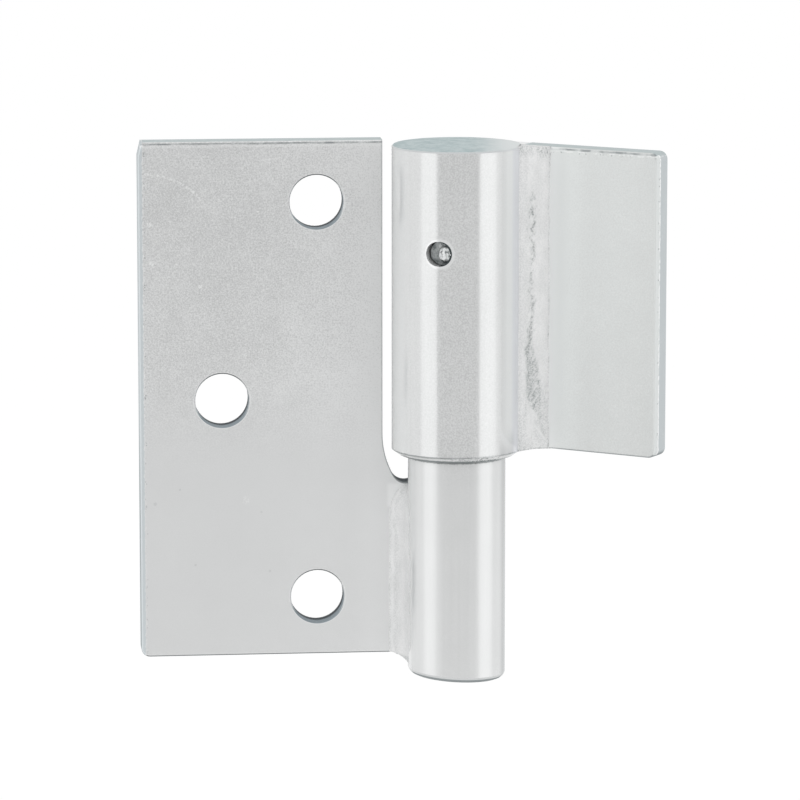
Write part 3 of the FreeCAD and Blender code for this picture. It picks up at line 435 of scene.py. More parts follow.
def makePlateZinc(look=plateLook):
    g = Graph("rolled_zinc_plate")
    # painted light: lighter towards the sleeve, where the sleeve's shade and reflection would darken the plate
    rubbed = g.times(g.ramp(g.x, 0.0, 32 * mm, 0.0, look["rubbed"]),
                     g.ramp(g.z, -16 * mm, 6 * mm, 0.45, 1.0))
    rubbed = g.plus(rubbed, g.ramp(g.x, 24 * mm, 31 * mm, 0.0, look["rubbedMost"]))
    colour = rolledSurface(g, (0, 1, 0), look, rubbed)
    colour = darkenWalls(g, colour, look)
    colour = markFace(g, colour, look)
    onFace = g.above(g.facing, 0.5)
    rag = g.uneven(g.stretch((0.3, 0.3, 1)), 1.3 * mm, 3.0, 0.7, 0.35 * mm)
    colour = cornerWearAndLight(g, colour, look, onFace, rag)
    colour = lineNotch(g, colour, look, onFace, rag)
    return finishRolled(g, colour, look)


# The tab: more even, with painted light beside its bead, where the bead would shade it

tabLook = dict(
    rolledLook,
    dark=shade(199, 201, 200),
    light=shade(220, 223, 222),
    edge=shade(190, 196, 198),
    edgeLow=shade(190, 196, 198),
    footEdge=shade(140, 146, 148),
    besideBead=shade(247, 248, 248),
    grainFade=(0.2, 0.3),          # far above the tab, so its grain is the same all over
    grainLow=0.45,
    cloudPart=(0.10, 0.10),
    lighter=(-0.12, 0.12),
    footTone=0.0,
    metallic=0.25,
)


def makeTabZinc(look=tabLook):
    g = Graph("rolled_zinc_tab")
    out = g.dot(g.place, tabAlong)
    past = g.plus(out, -furthest("sleeve", tabAlong))
    # painted light on the tab near the bead, where the bead and sleeve would shade it, and a little darker far out
    lighter = g.plus(g.ramp(past, 3 * mm, 13 * mm, 0.8, 0.0), g.ramp(past, 15 * mm, 28 * mm, 0.0, -0.2))
    colour = rolledSurface(g, tabNormal, look, lighter)
    depth = g.plus(g.dot(g.place, tabNormal), -tabFront)
    # more painted light on the face right beside the bead
    nearBead = g.times(g.ramp(past, 3.2 * mm, 6.4 * mm, 0.45, 0.0), g.above(g.facing, 0.5),
                       g.below(depth, plateThick / 2))
    colour = g.blend(nearBead, colour, look["besideBead"])

    # the front half of the free edge is painted in the face's light tone, with a broken painted highlight along it
    # and dark chips
    rag = g.uneven(g.stretch((0.3, 0.3, 1)), 1.3 * mm, 3.0, 0.7, 0.5 * mm)
    onEnd = g.above(out, furthest("weld_tab", tabAlong) - 0.4 * mm)
    inward = g.plus(depth, rag)
    worn = g.times(g.ramp(inward, 1.75 * mm, 1.45 * mm), onEnd, 0.85)
    colour = g.blend(worn, colour, look["light"])
    broken = g.ramp(g.noise(g.place, 0.8 * mm), 0.38, 0.52)
    line = g.times(g.band(inward, 1.45 * mm, 0.10 * mm, 0.2 * mm), onEnd, broken)
    colour = g.blend(line, colour, look["fleckLight"])
    chips = g.ramp(g.noise(g.place, 0.6 * mm), 0.60, 0.68)
    line = g.times(g.band(inward, 1.0 * mm, 0.15 * mm, 0.2 * mm), onEnd, chips, 0.8)
    colour = g.blend(line, colour, look["fleckDark"])

    # a broken painted highlight with flecks, and a patchy line of painted shade, along the top
    topGap = g.plus(g.z, look["topWorn"] - tabHigh.z)
    lengthwise = g.stretch((1, 1, 0.2))
    colour = edgeFlecks(g, g.plus(topGap, 0.35 * mm), lengthwise, look, colour, 0.5)
    patchy = g.ramp(g.noise(lengthwise, 3 * mm, 3.0), 0.40, 0.60, 0.1, 0.8)
    line = g.times(g.band(g.plus(topGap, rag), 0.05 * mm, 0.12 * mm, 0.15 * mm),
                   g.below(depth, 0.6 * mm), patchy)
    colour = g.blend(line, colour, look["fleckDark"])
    return finishRolled(g, colour, look)


# Zinc plating on turned and drawn round bar: smoother, with faint streaks along the bar.
# Each direction points straight out of the bar where something is seen on it.

turnedLook = {
    "dark": shade(208, 209, 209),
    "light": shade(229, 230, 230),
    # the colour of painted highlights and painted light on the sleeve
    "bare": shade(250, 251, 251),
    "mouth": shade(238, 239, 239),
    "seam": shade(66, 80, 80),
    "grainSize": 0.28 * mm,
    "streakSize": 0.8 * mm,
    "cloudSize": 9 * mm,
    "grainFade": (-16 * mm, -6 * mm),
    "dusty": (-0.1045, -0.9945, 0),    # where the grain is strongest
    # painted light: the sleeve's two sides are made paler, where reflections of the plate and tab darken them
    "rubbed": [((0.777, -0.629, 0), 0.5), ((-0.927, -0.375, 0), 0.3)],
    "roughness": (0.14, 0.19),
    "duller": 0.08,                    # added to it on the side next to the plate
    "endRoughness": 0.85,
    "grainRelief": 0.006 * mm,
    "streakPart": 0.14,
    "metallic": 0.42,
}


def turnedSurface(g, look):
    # out, streak and spot stay on the graph; out is of length one, straight out from the hinge's axis
    level = g.add("VectorMath", g.place, (1, 1, 0), operation="MULTIPLY").outputs["Vector"]
    away = g.add("VectorMath", level, tuple(hingeAxis), operation="SUBTRACT").outputs["Vector"]
    g.out = g.add("VectorMath", away, operation="NORMALIZE").outputs["Vector"]
    grain = g.noise(g.place, look["grainSize"], 1.0, 0.4)
    g.streak = g.noise(g.stretch((1, 1, 0.02)), look["streakSize"])
    cloud = g.noise(g.place, look["cloudSize"])
    g.spot = g.times(g.plus(grain, -0.5), g.ramp(g.z, *look["grainFade"], 0.12, 1.0),
                     g.ramp(g.dot(g.out, look["dusty"]), 0.94, 0.975, 0.35, 1.0))
    tone = g.plus(g.times(g.spot, 3.0), g.times(g.plus(g.streak, -0.5), 0.35),
                  g.times(g.plus(cloud, -0.5), 0.3), 0.5)
    colour = g.blend(tone, look["dark"], look["light"])
    # painted light on the sleeve's two sides
    for direction, strength in look["rubbed"]:
        colour = g.blend(g.ramp(g.dot(g.out, direction), 0.955, 0.99, 0.0, strength), colour, look["bare"])
    return colour


def finishTurned(g, colour, look, dull, shape=None):
    # dull is 1 on a cut end and 0 on the turned side
    roughness = g.plus(g.ramp(g.spot, -0.2, 0.2, *look["roughness"]),
                       g.ramp(g.dot(g.out, leftInView), 0.60, 0.85, 0.0, look["duller"]))
    roughness = g.math("MAXIMUM", roughness, g.times(dull, look["endRoughness"]))
    normal = g.bump(g.spot, look["grainRelief"], 0.5, shape)
    normal = g.bump(g.streak, look["grainRelief"], look["streakPart"], normal)
    return g.plated(colour, roughness, normal, g.times(g.without(dull), look["metallic"]))


# The sleeve

sleeveLook = dict(
    turnedLook,
    end=shade(183, 194, 195),
    endDark=shade(160, 175, 177),
    endByBead=shade(208, 212, 212),
    rim=shade(188, 192, 193),
    wall=shade(66, 74, 76),
    tinted=shade(212, 214, 226),
    shadeUnderTab=shade(150, 152, 153),
    wiped=(0.7561, -0.6542, 0),
    wipedPart=0.35,
    besideBead=(0.8822, -0.4714, 0),
    underTab=(0.7078, -0.7067, 0),
    endTurn=0.12 * mm,                 # how far below the top the sawn end starts
    rimTurn=0.42 * mm,
    chamfer=1.0 * mm,
)


def dressCrossHole(g, colour, look):
    offset = g.add("VectorMath", g.place, tuple(crossPoint), operation="SUBTRACT").outputs["Vector"]
    along = g.dot(offset, crossOut)
    square = g.add("VectorMath", offset, offset, operation="DOT_PRODUCT").outputs["Value"]
    away = g.math("SQRT", g.math("SUBTRACT", square, g.times(along, along)))
    outside = g.above(along, 0.0)
    ragged = g.plus(away, g.uneven(g.place, 0.5 * mm, 2.0, 0.5, 0.3 * mm))
    mouth = g.times(g.band(ragged, crossRadius + 0.30 * mm, 0.20 * mm, 0.22 * mm), outside, 0.8)
    colour = g.blend(mouth, colour, look["mouth"])
    # the inside of the hole is painted dark, as shade
    inHole = g.times(g.below(away, crossRadius + 0.05 * mm), outside)
    return g.blend(inHole, colour, look["wall"])


def dressFoot(g, colour, look):
    # painted shade low on the side under the tab, a painted highlight on the chamfer, and a dark line on each side
    # of it that turns ragged towards the tab
    lift = g.plus(g.z, -sleeveLow.z)
    rag = g.noise(g.place, 0.55 * mm, 3.0, 0.7)
    side = g.ramp(g.x, axisX - 8 * mm, axisX + 4 * mm)
    underTabShade = g.times(g.ramp(lift, 6.5 * mm, 0.8 * mm),
                      g.ramp(g.dot(g.out, look["underTab"]), 0.975, 0.996), 0.5)
    colour = g.blend(underTabShade, colour, look["shadeUnderTab"])
    chamferHighlight = g.times(g.ramp(lift, 0.05 * mm, look["chamfer"], 0.45, 0.0), g.below(lift, look["chamfer"]))
    colour = g.blend(chamferHighlight, colour, look["mouth"])
    wander = g.times(g.plus(rag, -0.5), g.ramp(g.x, axisX - 6 * mm, axisX + 4 * mm, 0.25 * mm, 1.5 * mm))
    wander = g.plus(lift, wander)
    upper = g.times(g.band(wander, look["chamfer"], 0.13 * mm, 0.10 * mm),
                    g.plus(g.times(side, -0.25), 0.55))
    lower = g.times(g.band(wander, 0.05 * mm, 0.18 * mm, 0.14 * mm), 0.8)
    specks = g.times(g.band(lift, 0.7 * mm, 0.45 * mm, 0.25 * mm), g.ramp(rag, 0.52, 0.60), side, 0.6)
    return g.blend(g.math("MAXIMUM", g.math("MAXIMUM", upper, lower), specks), colour, look["seam"])


def makeSleeveZinc(look=sleeveLook):
    g = Graph("turned_zinc_sleeve")
    colour = turnedSurface(g, look)
    onTop = g.above(g.z, sleeveHigh.z - look["endTurn"])
    rim = g.times(g.above(g.z, sleeveHigh.z - look["rimTurn"]), g.without(onTop))
    sawn = g.noise(g.place, 1.6 * mm, 4.0, 0.7)
    end = g.blend(g.ramp(sawn, 0.35, 0.65), look["endDark"], look["end"])
    end = g.blend(g.ramp(g.fromAxis(rightInView), 2 * mm, 11 * mm), end, look["endByBead"])

    # a painted highlight streak along the side next to the tab, and a bluish tint beyond it
    wiped = g.ramp(g.dot(g.out, look["wiped"]), 0.990, 0.9968, 0.0, look["wipedPart"])
    colour = g.blend(wiped, colour, look["bare"])
    tinted = g.ramp(g.dot(g.out, look["besideBead"]), 0.975, 0.992, 0.0, 0.35)
    colour = g.blend(tinted, colour, look["tinted"])
    colour = g.blend(g.times(rim, 0.75), colour, look["rim"])
    colour = g.blend(onTop, colour, end)
    colour = dressCrossHole(g, colour, look)
    colour = dressFoot(g, colour, look)
    return finishTurned(g, colour, look, g.plus(onTop, g.times(rim, 0.7)))


# The pin

pinLook = dict(
    turnedLook,
    dark=shade(210, 211, 211),
    light=shade(231, 232, 232),
    foot=shade(142, 148, 150),
    farSide=shade(120, 124, 126),
    rubbed=[],
    roughness=(0.21, 0.27),
    duller=0.0,
    streakPart=0.3,
    across=(0.9945, -0.1045, 0),
    flattened=16.0,                    # it is drawn a little flatter in front than a true round
)


def makePinZinc(look=pinLook):
    g = Graph("drawn_zinc_pin")
    colour = turnedSurface(g, look)
    lift = g.plus(g.z, -sleeveLow.z)
    # painted light on the pin just below the sleeve, against the shade there
    colour = g.blend(g.ramp(lift, -4.0 * mm, -1.0 * mm, 0.0, 0.35), colour, look["mouth"])
    shadow = g.ramp(g.plus(lift, g.uneven(g.place, 0.5 * mm, 3.0, 0.7, 0.5 * mm)), -0.80 * mm, -0.50 * mm)
    colour = g.blend(g.times(shadow, 0.7), colour, look["seam"])
    # painted shade along the pin's far side
    farSide = g.ramp(g.dot(g.out, rightInView), 0.86, 0.99, 0.0, 0.5)
    colour = g.blend(farSide, colour, look["farSide"])
    # faces that look down get painted shade, and are dull
    foot = g.ramp(g.towards(downwards), 0.2, 0.75)
    colour = g.blend(foot, colour, look["foot"])
    across = g.fromAxis(look["across"])
    shape = g.bump(g.times(across, across, look["flattened"]), 1.0, 1.0)
    return finishTurned(g, colour, look, foot, shape)


# Zinc plating on weld metal: paler, and duller and darker where the bead's own attribute says so; that attribute
# holds dark marks and painted shade

weldLook = {
    "dark": shade(214, 215, 215),
    "light": shade(241, 241, 241),
    "scorched": shade(158, 163, 163),
    "grainSize": 0.3 * mm,
    "cloudSize": 2.2 * mm,
    "roughness": (0.50, 0.65),
    "relief": 0.03 * mm,
    "metallic": 0.15,
}


def makeWeldZinc(look=weldLook):
    g = Graph("zinc_on_weld")
    grain = g.noise(g.place, look["grainSize"], 2.0, 0.6)
    cloud = g.noise(g.stretch((1, 1, 0.4)), look["cloudSize"], 3.0)
    dull = g.add("Attribute", attribute_name="scorch").outputs["Fac"]
    grainPart = g.ramp(g.z, plateLow.z + 34 * mm, tabLow.z, 0.4, 0.9)       # weaker on the plate's bead
    tone = g.plus(cloud, g.times(g.plus(grain, -0.5), grainPart))
    colour = g.blend(tone, look["dark"], look["light"])
    # dark marks and painted shade, where the attribute is high
    colour = g.blend(g.times(dull, g.ramp(grain, 0.36, 0.62, 1.0, 0.25)), colour, look["scorched"])
    normal = g.bump(g.times(grain, g.plus(dull, 0.25)), look["relief"], 0.6)
    return g.plated(colour, g.ramp(dull, 0.0, 1.0, *look["roughness"]), normal, look["metallic"])


# The retaining pin's end, snapped off and plated over

stubLook = {
    "dark": shade(92, 99, 100),
    "light": shade(236, 238, 238),
    "grainSize": 0.3 * mm,
    "roughness": (0.25, 0.5),
    "relief": 0.03 * mm,
    "metallic": 0.45,
}


def makeStubZinc(look=stubLook):
    g = Graph("snapped_pin_zinc")
    grain = g.noise(g.place, look["grainSize"], 2.0, 0.6)
    dull = g.add("Attribute", attribute_name="scorch").outputs["Fac"]
    # the attribute gives painted shade deep in the hole and a painted highlight on the stub
    tone = g.plus(g.without(dull), g.times(g.plus(grain, -0.5), 0.5))
    colour = g.blend(tone, look["dark"], look["light"])
    normal = g.bump(grain, look["relief"], 0.5)
    return g.plated(colour, g.ramp(grain, 0.3, 0.7, *look["roughness"]), normal, look["metallic"])


ballLook = {
    "colour": shade(214, 214, 216),
    "roughness": (0.06, 0.12),
    "wearSize": 1.5 * mm,
    "relief": 0.002 * mm,
}


def makeBallSteel(look=ballLook):
    g = Graph("ball_steel")
    wear = g.noise(g.place, look["wearSize"], 3.0)
    normal = g.bump(wear, look["relief"], 0.2)
    return g.plated(look["colour"], g.ramp(wear, 0.3, 0.7, *look["roughness"]), normal, 1.0)


weldZinc = makeWeldZinc()
stubZinc = makeStubZinc()
finishes = {
    "mounting_plate": makePlateZinc(),
    "weld_tab": makeTabZinc(),
    "sleeve": makeSleeveZinc(),
    "hinge_pin": makePinZinc(),
    "plate_weld_front": weldZinc,
    "plate_weld_back": weldZinc,
    "tab_weld_front": weldZinc,
    "tab_weld_back": weldZinc,
    "thrust_ball": makeBallSteel(),
    "retaining_pin": stubZinc,
}
for nodeName, material in finishes.items():
    for slot in nodes[nodeName].material_slots:
        slot.material = material
print("materials made")


def finishMesh(name, bm, material, rounded=True):
    mesh = bpy.data.meshes.new(name)
    bm.to_mesh(mesh)
    bm.free()
    mesh.materials.append(material)
    for face in mesh.polygons:
        face.use_smooth = rounded
    piece = bpy.data.objects.new(name, mesh)
    bpy.context.scene.collection.objects.link(piece)
    return piece


# Weld beads: a fine grid across and along the bead, given a body and then pushed into its shape.
# s runs across the face, from the flat bar's toe to the round bar's, and z runs up in millimetres.
# The round bar's axis is at zero in each bead's own plan.

def makeBead(bead, shapeAt):
    bm = bmesh.new()
    bmesh.ops.create_grid(bm, x_segments=bead["across"], y_segments=bead["rows"], size=0.5)
    scorch = bm.verts.layers.float.new("scorch")
    front = list(bm.verts)
    made = bmesh.ops.extrude_face_region(bm, geom=bm.faces[:])
    back = {item for item in made["geom"] if isinstance(item, bmesh.types.BMVert)}
    low, high = bead["heights"]
    for vert in front + list(back):
        s = mix(-bead["tuck"], 1 + bead["tuck"], vert.co.x + 0.5)
        z = mix(low, high, vert.co.y + 0.5)
        vert.co, dull = shapeAt(s, z, vert in back)
        vert[scorch] = min(max(dull, 0.0), 1.0)
    bmesh.ops.recalc_face_normals(bm, faces=bm.faces)
    piece = finishMesh(bead["name"], bm, weldZinc)
    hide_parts(bead["node"])
    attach(piece, bead["body"])


def lobe(s, low, high, rise):
    part = min(max((s - low) / (high - low), 0.0), 1.0)
    return rise * 4 * part * (1 - part)


def hump(s, z, oval, top):
    # 1 in the middle of an oval of the face and 0 at its edge
    middle, lift, wide, tall = oval
    return smooth(1.0, top, math.hypot((s - middle) / wide, (z - lift) / tall))


def behind(s, flat, corner, bar, tuck):
    # the bead's hidden side, from the flat bar's toe into the corner and out to the round bar's
    part = (s + tuck) / (1 + 2 * tuck) * 2
    if part < 1:
        return flat.lerp(bar, -tuck).lerp(corner, part)
    return corner.lerp(flat.lerp(bar, 1 + tuck), part - 1)


tabBead = {
    "name": "tab_weld_ripples",
    "node": "tab_weld_front",
    "body": "gate_leaf",
    "across": 56,
    "rows": 320,
    "tuck": 0.07,
    "heights": (0.0, (tabHigh.z - tabLow.z) / mm),
    "leg": 6.1,
    "toe": 2.14,
    "crease": [(20, 0.67), (21.5, 0.66), (23.4, 0.60), (25.7, 0.60), (27.3, 0.56), (28.9, 0.54),
               (30.2, 0.56), (31.8, 0.60), (34.2, 0.60), (36.1, 0.56), (38.1, 0.515), (40.1, 0.525),
               (41.1, 0.60), (42.4, 0.53), (43.5, 0.60), (44.4, 0.50), (46.4, 0.56), (48.3, 0.49),
               (50.3, 0.56), (52, 0.58)],
    "recessLeft": [(1, 0.10), (2.4, 0.17), (6.8, 0.38), (7.8, 0.48), (8.8, 0.62), (10.7, 0.72), (12, 0.745),
                   (26, 0.74)],
    "recessRight": [(1, 0.06), (2.4, 0.11), (6.8, 0.24), (9.8, 0.26), (11.6, 0.30), (13.4, 0.295),
                    (16, 0.39), (19, 0.495), (22, 0.58), (26, 0.68)],
    "lump": (0.65, 4.9, 0.19, 3.3),
    "bud": (0.64, 3.0, 0.10, 1.2),
    "nick": 0.77,
}


def stroke(s, z):
    return rough((s * 6 + z * 0.58) * 2.3, (z - s * 3.5) * 0.5, 8.0)


# Each of these gives a bit of height and of dullness; dullness also darkens the colour, both for dark marks and as
# painted shade in the bead's hollows

def passesAt(s, z):
    # the faces of the two passes, uneven and grainy
    height = 0.10 + lobe(s, 0.0, 0.58, 0.16) + lobe(s, 0.58, 1.0, 0.10)
    inside = smooth(-0.02, 0.12, s) * smooth(1.02, 0.88, s)
    height += 0.16 * rough(s * 1.6, z * 0.11, 2.3) + 0.06 * rough(s * 4, z * 0.35, 7.1) * (0.3 + inside)
    height += 0.025 * rough(s * 14, z * 1.7, 4.4)
    dull = 0.05 + 0.10 * rough(s * 5, z * 0.5, 12.0)
    dull += 0.10 * smooth(0.68, 0.80, s) + 0.12 * smooth(0.88, 1.0, s)
    return height, dull


def creaseAt(s, z, bead=tabBead):
    # the crease where the two passes meet, ragged, in short slanted strokes, darkened with painted shade
    swell = 0.62 + 0.45 * smooth(27, 22, z) + 0.45 * smooth(39, 43, z)
    crease = follow(bead["crease"], z) + 0.03 * rough(3.1, z * 0.9, 1.0)
    crease += 0.035 * ((z * 0.85 + 0.6 * rough(1.0, z * 0.5, 4.0)) % 1.0 - 0.5)
    inCrease = smooth(0.045, 0.008, abs(s - crease)) * smooth(18, 22, z) * smooth(52, 48, z)
    inCrease *= smooth(-0.25, 0.25, rough(1.5, z * 1.1, 9.0) + 0.5 * swell - 0.2)
    strokes = smooth(0.17, 0.05, abs(s - crease - 0.03)) * smooth(15, 20, z) * smooth(52, 46, z)
    strokes *= smooth(0.02, 0.3, stroke(s, z)) * (swell - 0.25)
    return -0.18 * inCrease - 0.14 * strokes, inCrease * swell + 1.15 * strokes


def recessAt(s, z, bead=tabBead):
    # the three-cornered recess near the foot, darkened with painted shade and crossed by scratches, and the
    # chatter beside it
    left = follow(bead["recessLeft"], z) + 0.02 * rough(5.5, z * 0.9, 3.0)
    right = follow(bead["recessRight"], z) + 0.025 * rough(2.5, z * 1.0, 6.0)
    inRecess = smooth(left + 0.05, left - 0.05, s) * smooth(right - 0.05, right + 0.05, s)
    inRecess *= smooth(1.0, 3.0, z) * smooth(25, 18, z)
    height = -inRecess * (0.10 - 0.10 * stroke(s, z))
    dull = inRecess * (0.62 + 0.9 * stroke(s, z)) * mix(0.45, 1.0, smooth(6.0, 9.0, z))
    beside = smooth(right + 0.02, right - 0.05, s) * smooth(right - 0.30, right - 0.12, s)
    beside *= smooth(4, 7, z) * smooth(15, 12, z)
    height += 0.10 * beside * rough(s * 16, z * 1.8, 5.0)
    dull += 0.30 * beside * (0.6 + 1.4 * rough(s * 16, z * 1.9, 1.0))
    return height, dull


def lumpAt(s, z, bead=tabBead):
    # the rounded lump and its small bump below the recess, drawn out to a point, with painted shade round it low
    # down
    lump, bud = hump(s, z, bead["lump"], 0.25), hump(s, z, bead["bud"], 0.1)
    tail = smooth(0.07, 0.0, abs(s - 0.105 - (z - 1.9) * 0.124))
    tail *= smooth(0.08, 0.2, s) * smooth(0.56, 0.46, s)
    dull = 0.20 * smooth(9.0, 5.5, z) * (1 - max(lump, tail)) - 0.3 * max(lump, tail)
    dull += 0.30 * smooth(0.035, 0.0, abs(s - bead["nick"])) * smooth(6.3, 7.2, z) * smooth(11.5, 9.5, z)
    return 0.20 * lump + 0.18 * bud + 0.10 * tail, dull


def tornAt(s, z):
    # torn metal at the upper end, in slanted folds next to the tab, and dull ends
    torn = smooth(56.4, 58.4, z) * smooth(0.52, 0.40, s)
    folds = math.sin(4.7 * z - 74 * s + 3 * rough(s * 3, z * 0.6, 2.0)) * smooth(0.38, 0.26, s)
    height = torn * (0.14 * rough(s * 20 + z, z * 0.8, 6.6) - 0.03 + 0.05 * folds)
    dull = torn * (0.25 + 1.1 * rough(s * 20 + z, z * 0.9, 1.2) + 0.38 * folds)
    dull += 0.35 * smooth(57.0, 58.6, z) * smooth(0.45, 0.6, s) + 0.6 * smooth(0.35, 0.05, z)
    return height, dull


def toeAt(s, z):
    # painted shade in the thin seam where the bead meets the tab
    seam = smooth(0.045, 0.015, abs(s - 0.015))
    return -0.03 * seam, seam * (0.22 + 0.45 * smooth(0.1, 0.5, rough(2.0, z * 0.6, 3.0)))


def tabBeadAt(s, z, isBack, bead=tabBead):
    radius = sleeveRadius / mm
    front = radius - plateThick / mm
    edge = math.sqrt(radius ** 2 - front ** 2)
    flat = Vector((edge + bead["leg"] + 0.3 * rough(9.0, z * 0.2, 1.0), front))
    bar = Vector((math.sqrt(radius ** 2 - bead["toe"] ** 2), bead["toe"]))
    outward = Vector((flat.y - bar.y, -(flat.x - bar.x))).normalized()
    height = dull = 0.0
    for feature in (passesAt, creaseAt, recessAt, lumpAt, tornAt, toeAt):
        rise, duller = feature(s, z)
        height += rise
        dull += duller
    if isBack:
        point = behind(s, flat, Vector((edge - 0.2, front + 0.25)), bar, bead["tuck"])
    else:
        point = flat.lerp(bar, s) + outward * height
    lift = 0.2 * smooth(1.5, 0.0, z) * math.sin(math.pi * min(max(s, 0), 1))
    lift += 0.3 * smooth(57.0, 59.2, z) * smooth(0.3, 0.7, s)
    place = hingeAxis + tabAlong * point.x * mm + tabNormal * point.y * mm
    return Vector((place.x, place.y, tabLow.z + (z + lift) * mm)), dull


plateBead = {
    "name": "plate_weld_ripples",
    "node": "plate_weld_front",
    "body": "post_leaf",
    "across": 40,
    "rows": 170,
    "tuck": 0.05,
    "heights": (-1.7, 33.7),
    "leg": 4.58,
    "ahead": 1.6,
    "hollow": 0.58,
    "tailCentre": (-12.08, -3.60),     # the tail is cut off round this centre, below the plate
    "tailRadius": 3.6,
    "roundFrom": 27.5,                 # the upper end is rounded from this height on
    "lump": (0.42, 2.0, 0.30, 2.6),
}


def plateBeadAt(s, z, isBack, bead=plateBead):
    radius = pinRadius / mm
    front = radius - plateThick / mm
    root = Vector((-math.sqrt(radius ** 2 - front ** 2), front))
    flat = root - Vector((bead["leg"], 0))
    bar = Vector((-math.sqrt(radius ** 2 - bead["ahead"] ** 2), -bead["ahead"]))
    outward = Vector((bar.y - flat.y, -(bar.x - flat.x))).normalized()

    # a hollow, uneven face, with a raised toe, a short streak and a lump low down
    height = -lobe(s, 0.0, 1.0, bead["hollow"])
    height += 0.15 * rough(s * 1.4, z * 0.16, 3.3) + 0.06 * rough(s * 4, z * 0.5, 1.1)
    height += 0.02 * rough(s * 12, z * 1.6, 4.4)
    toe = smooth(0.10, 0.0, abs(s - 0.07 - 0.05 * rough(1.0, z * 0.45, 2.0)))
    height += 0.09 * toe * (0.4 + rough(2.0, z * 0.8, 7.0))
    streak = smooth(0.06, 0.0, abs(s - 0.20 + (z - 27) * 0.035))
    height += 0.10 * streak * smooth(22, 24, z) * smooth(30, 28, z)
    lump = hump(s, z, bead["lump"], 0.2)
    height += 0.16 * lump + 0.05 * lump * rough(s * 16, z * 1.8, 2.0)

    # duller and darker along the plate and at the upper end, with a pale ridge and painted shade beside it
    dull = 0.12 + 0.16 * max(smooth(0.35, 0.0, s), smooth(29.0, 33.0, z))
    wave = 0.06 * rough(1.0, z * 0.45, 2.0) + 0.03 * rough(3.0, z * 1.2, 5.0)
    dull += 0.11 * smooth(0.12, 0.0, abs(s - 0.26 - wave)) - 0.15 * smooth(0.08, 0.02, abs(s - 0.12 - wave))
    dull += 0.22 * smooth(0.03, 0.0, abs(s - 0.02)) * (0.5 + rough(4.0, z * 0.7, 1.0))
    dull += 0.5 * smooth(0.4, -0.2, z)

    if isBack:
        point = behind(s, flat, root + Vector((0.15, 0.2)), bar, bead["tuck"])
    else:
        point = flat.lerp(bar, s) + outward * height
    shrink = (z - bead["roundFrom"]) / (bead["heights"][1] + 0.25 - bead["roundFrom"])
    if shrink > 0:
        point = mix(root, point, math.sqrt(1 - shrink ** 2))
    if z < 0:
        centreX, centreZ = bead["tailCentre"]
        limit = centreX + math.sqrt(max(bead["tailRadius"] ** 2 - (z - centreZ) ** 2, 0.0))
        point.x = max(point.x, limit)
    return Vector((axisX + point.x * mm, axisY + point.y * mm, plateLow.z + z * mm)), dull


makeBead(tabBead, tabBeadAt)
makeBead(plateBead, plateBeadAt)
print("weld beads made")

# The retaining pin's outer end, in millimetres: a flat, and on it the rough stub where it was snapped off

stub = {
    "segments": 72,
    "rings": 22,
    "depth": 2.1,                  # of the flat below the sleeve's surface
    "across": 0.80,                # the stub stands this far off centre
    "below": 0.15,
    "reach": (1.55, 1.62),
    "height": 0.95,
    "burr": 1.1,
}


# dullness that paints the flat and the sides dark, as shade deep in the hole
def holeShade(x, y):
    return 0.72 + 0.5 * rough(x * 0.9, y * 0.9, 3.0)


def stubAt(x, y):
    # height and dullness on the flat; the dullness paints the colour, dark as shade deep in the hole and pale as
    # painted highlight on the stub and its burr, with dark spots
    wide, tall = stub["reach"]
    away = math.hypot((x - stub["across"]) / wide, (y + stub["below"]) / tall)
    away += 0.16 * rough(x * 1.1, y * 1.1, 5.0)
    lump = smooth(1.08, 0.78, away)
    rise = stub["height"] * lump * (0.86 + 0.30 * rough(x * 1.5, y * 1.5, 8.0))
    rise += 0.10 * rough(x * 2.6, y * 2.6, 2.0)
    edge = smooth(crossRadius / mm, crossRadius / mm - 0.3, math.hypot(x, y))
    burr = smooth(1.3, 2.1, x) * smooth(1.7, 0.9, abs(y - 0.1)) * (1 + 0.5 * rough(x * 3, y * 3, 4.0))
    spots = smooth(0.18, 0.42, rough(x * 1.7, y * 1.7, 11.0))
    dull = mix(holeShade(x, y), 0.06 + 0.75 * spots, smooth(0.2, 0.6, lump))
    dull = mix(dull, 0.1 + 0.9 * smooth(0.0, 0.3, rough(x * 2.6, y * 2.6, 7.0)), smooth(0.2, 0.7, burr))
    return rise * edge + stub["burr"] * burr, dull


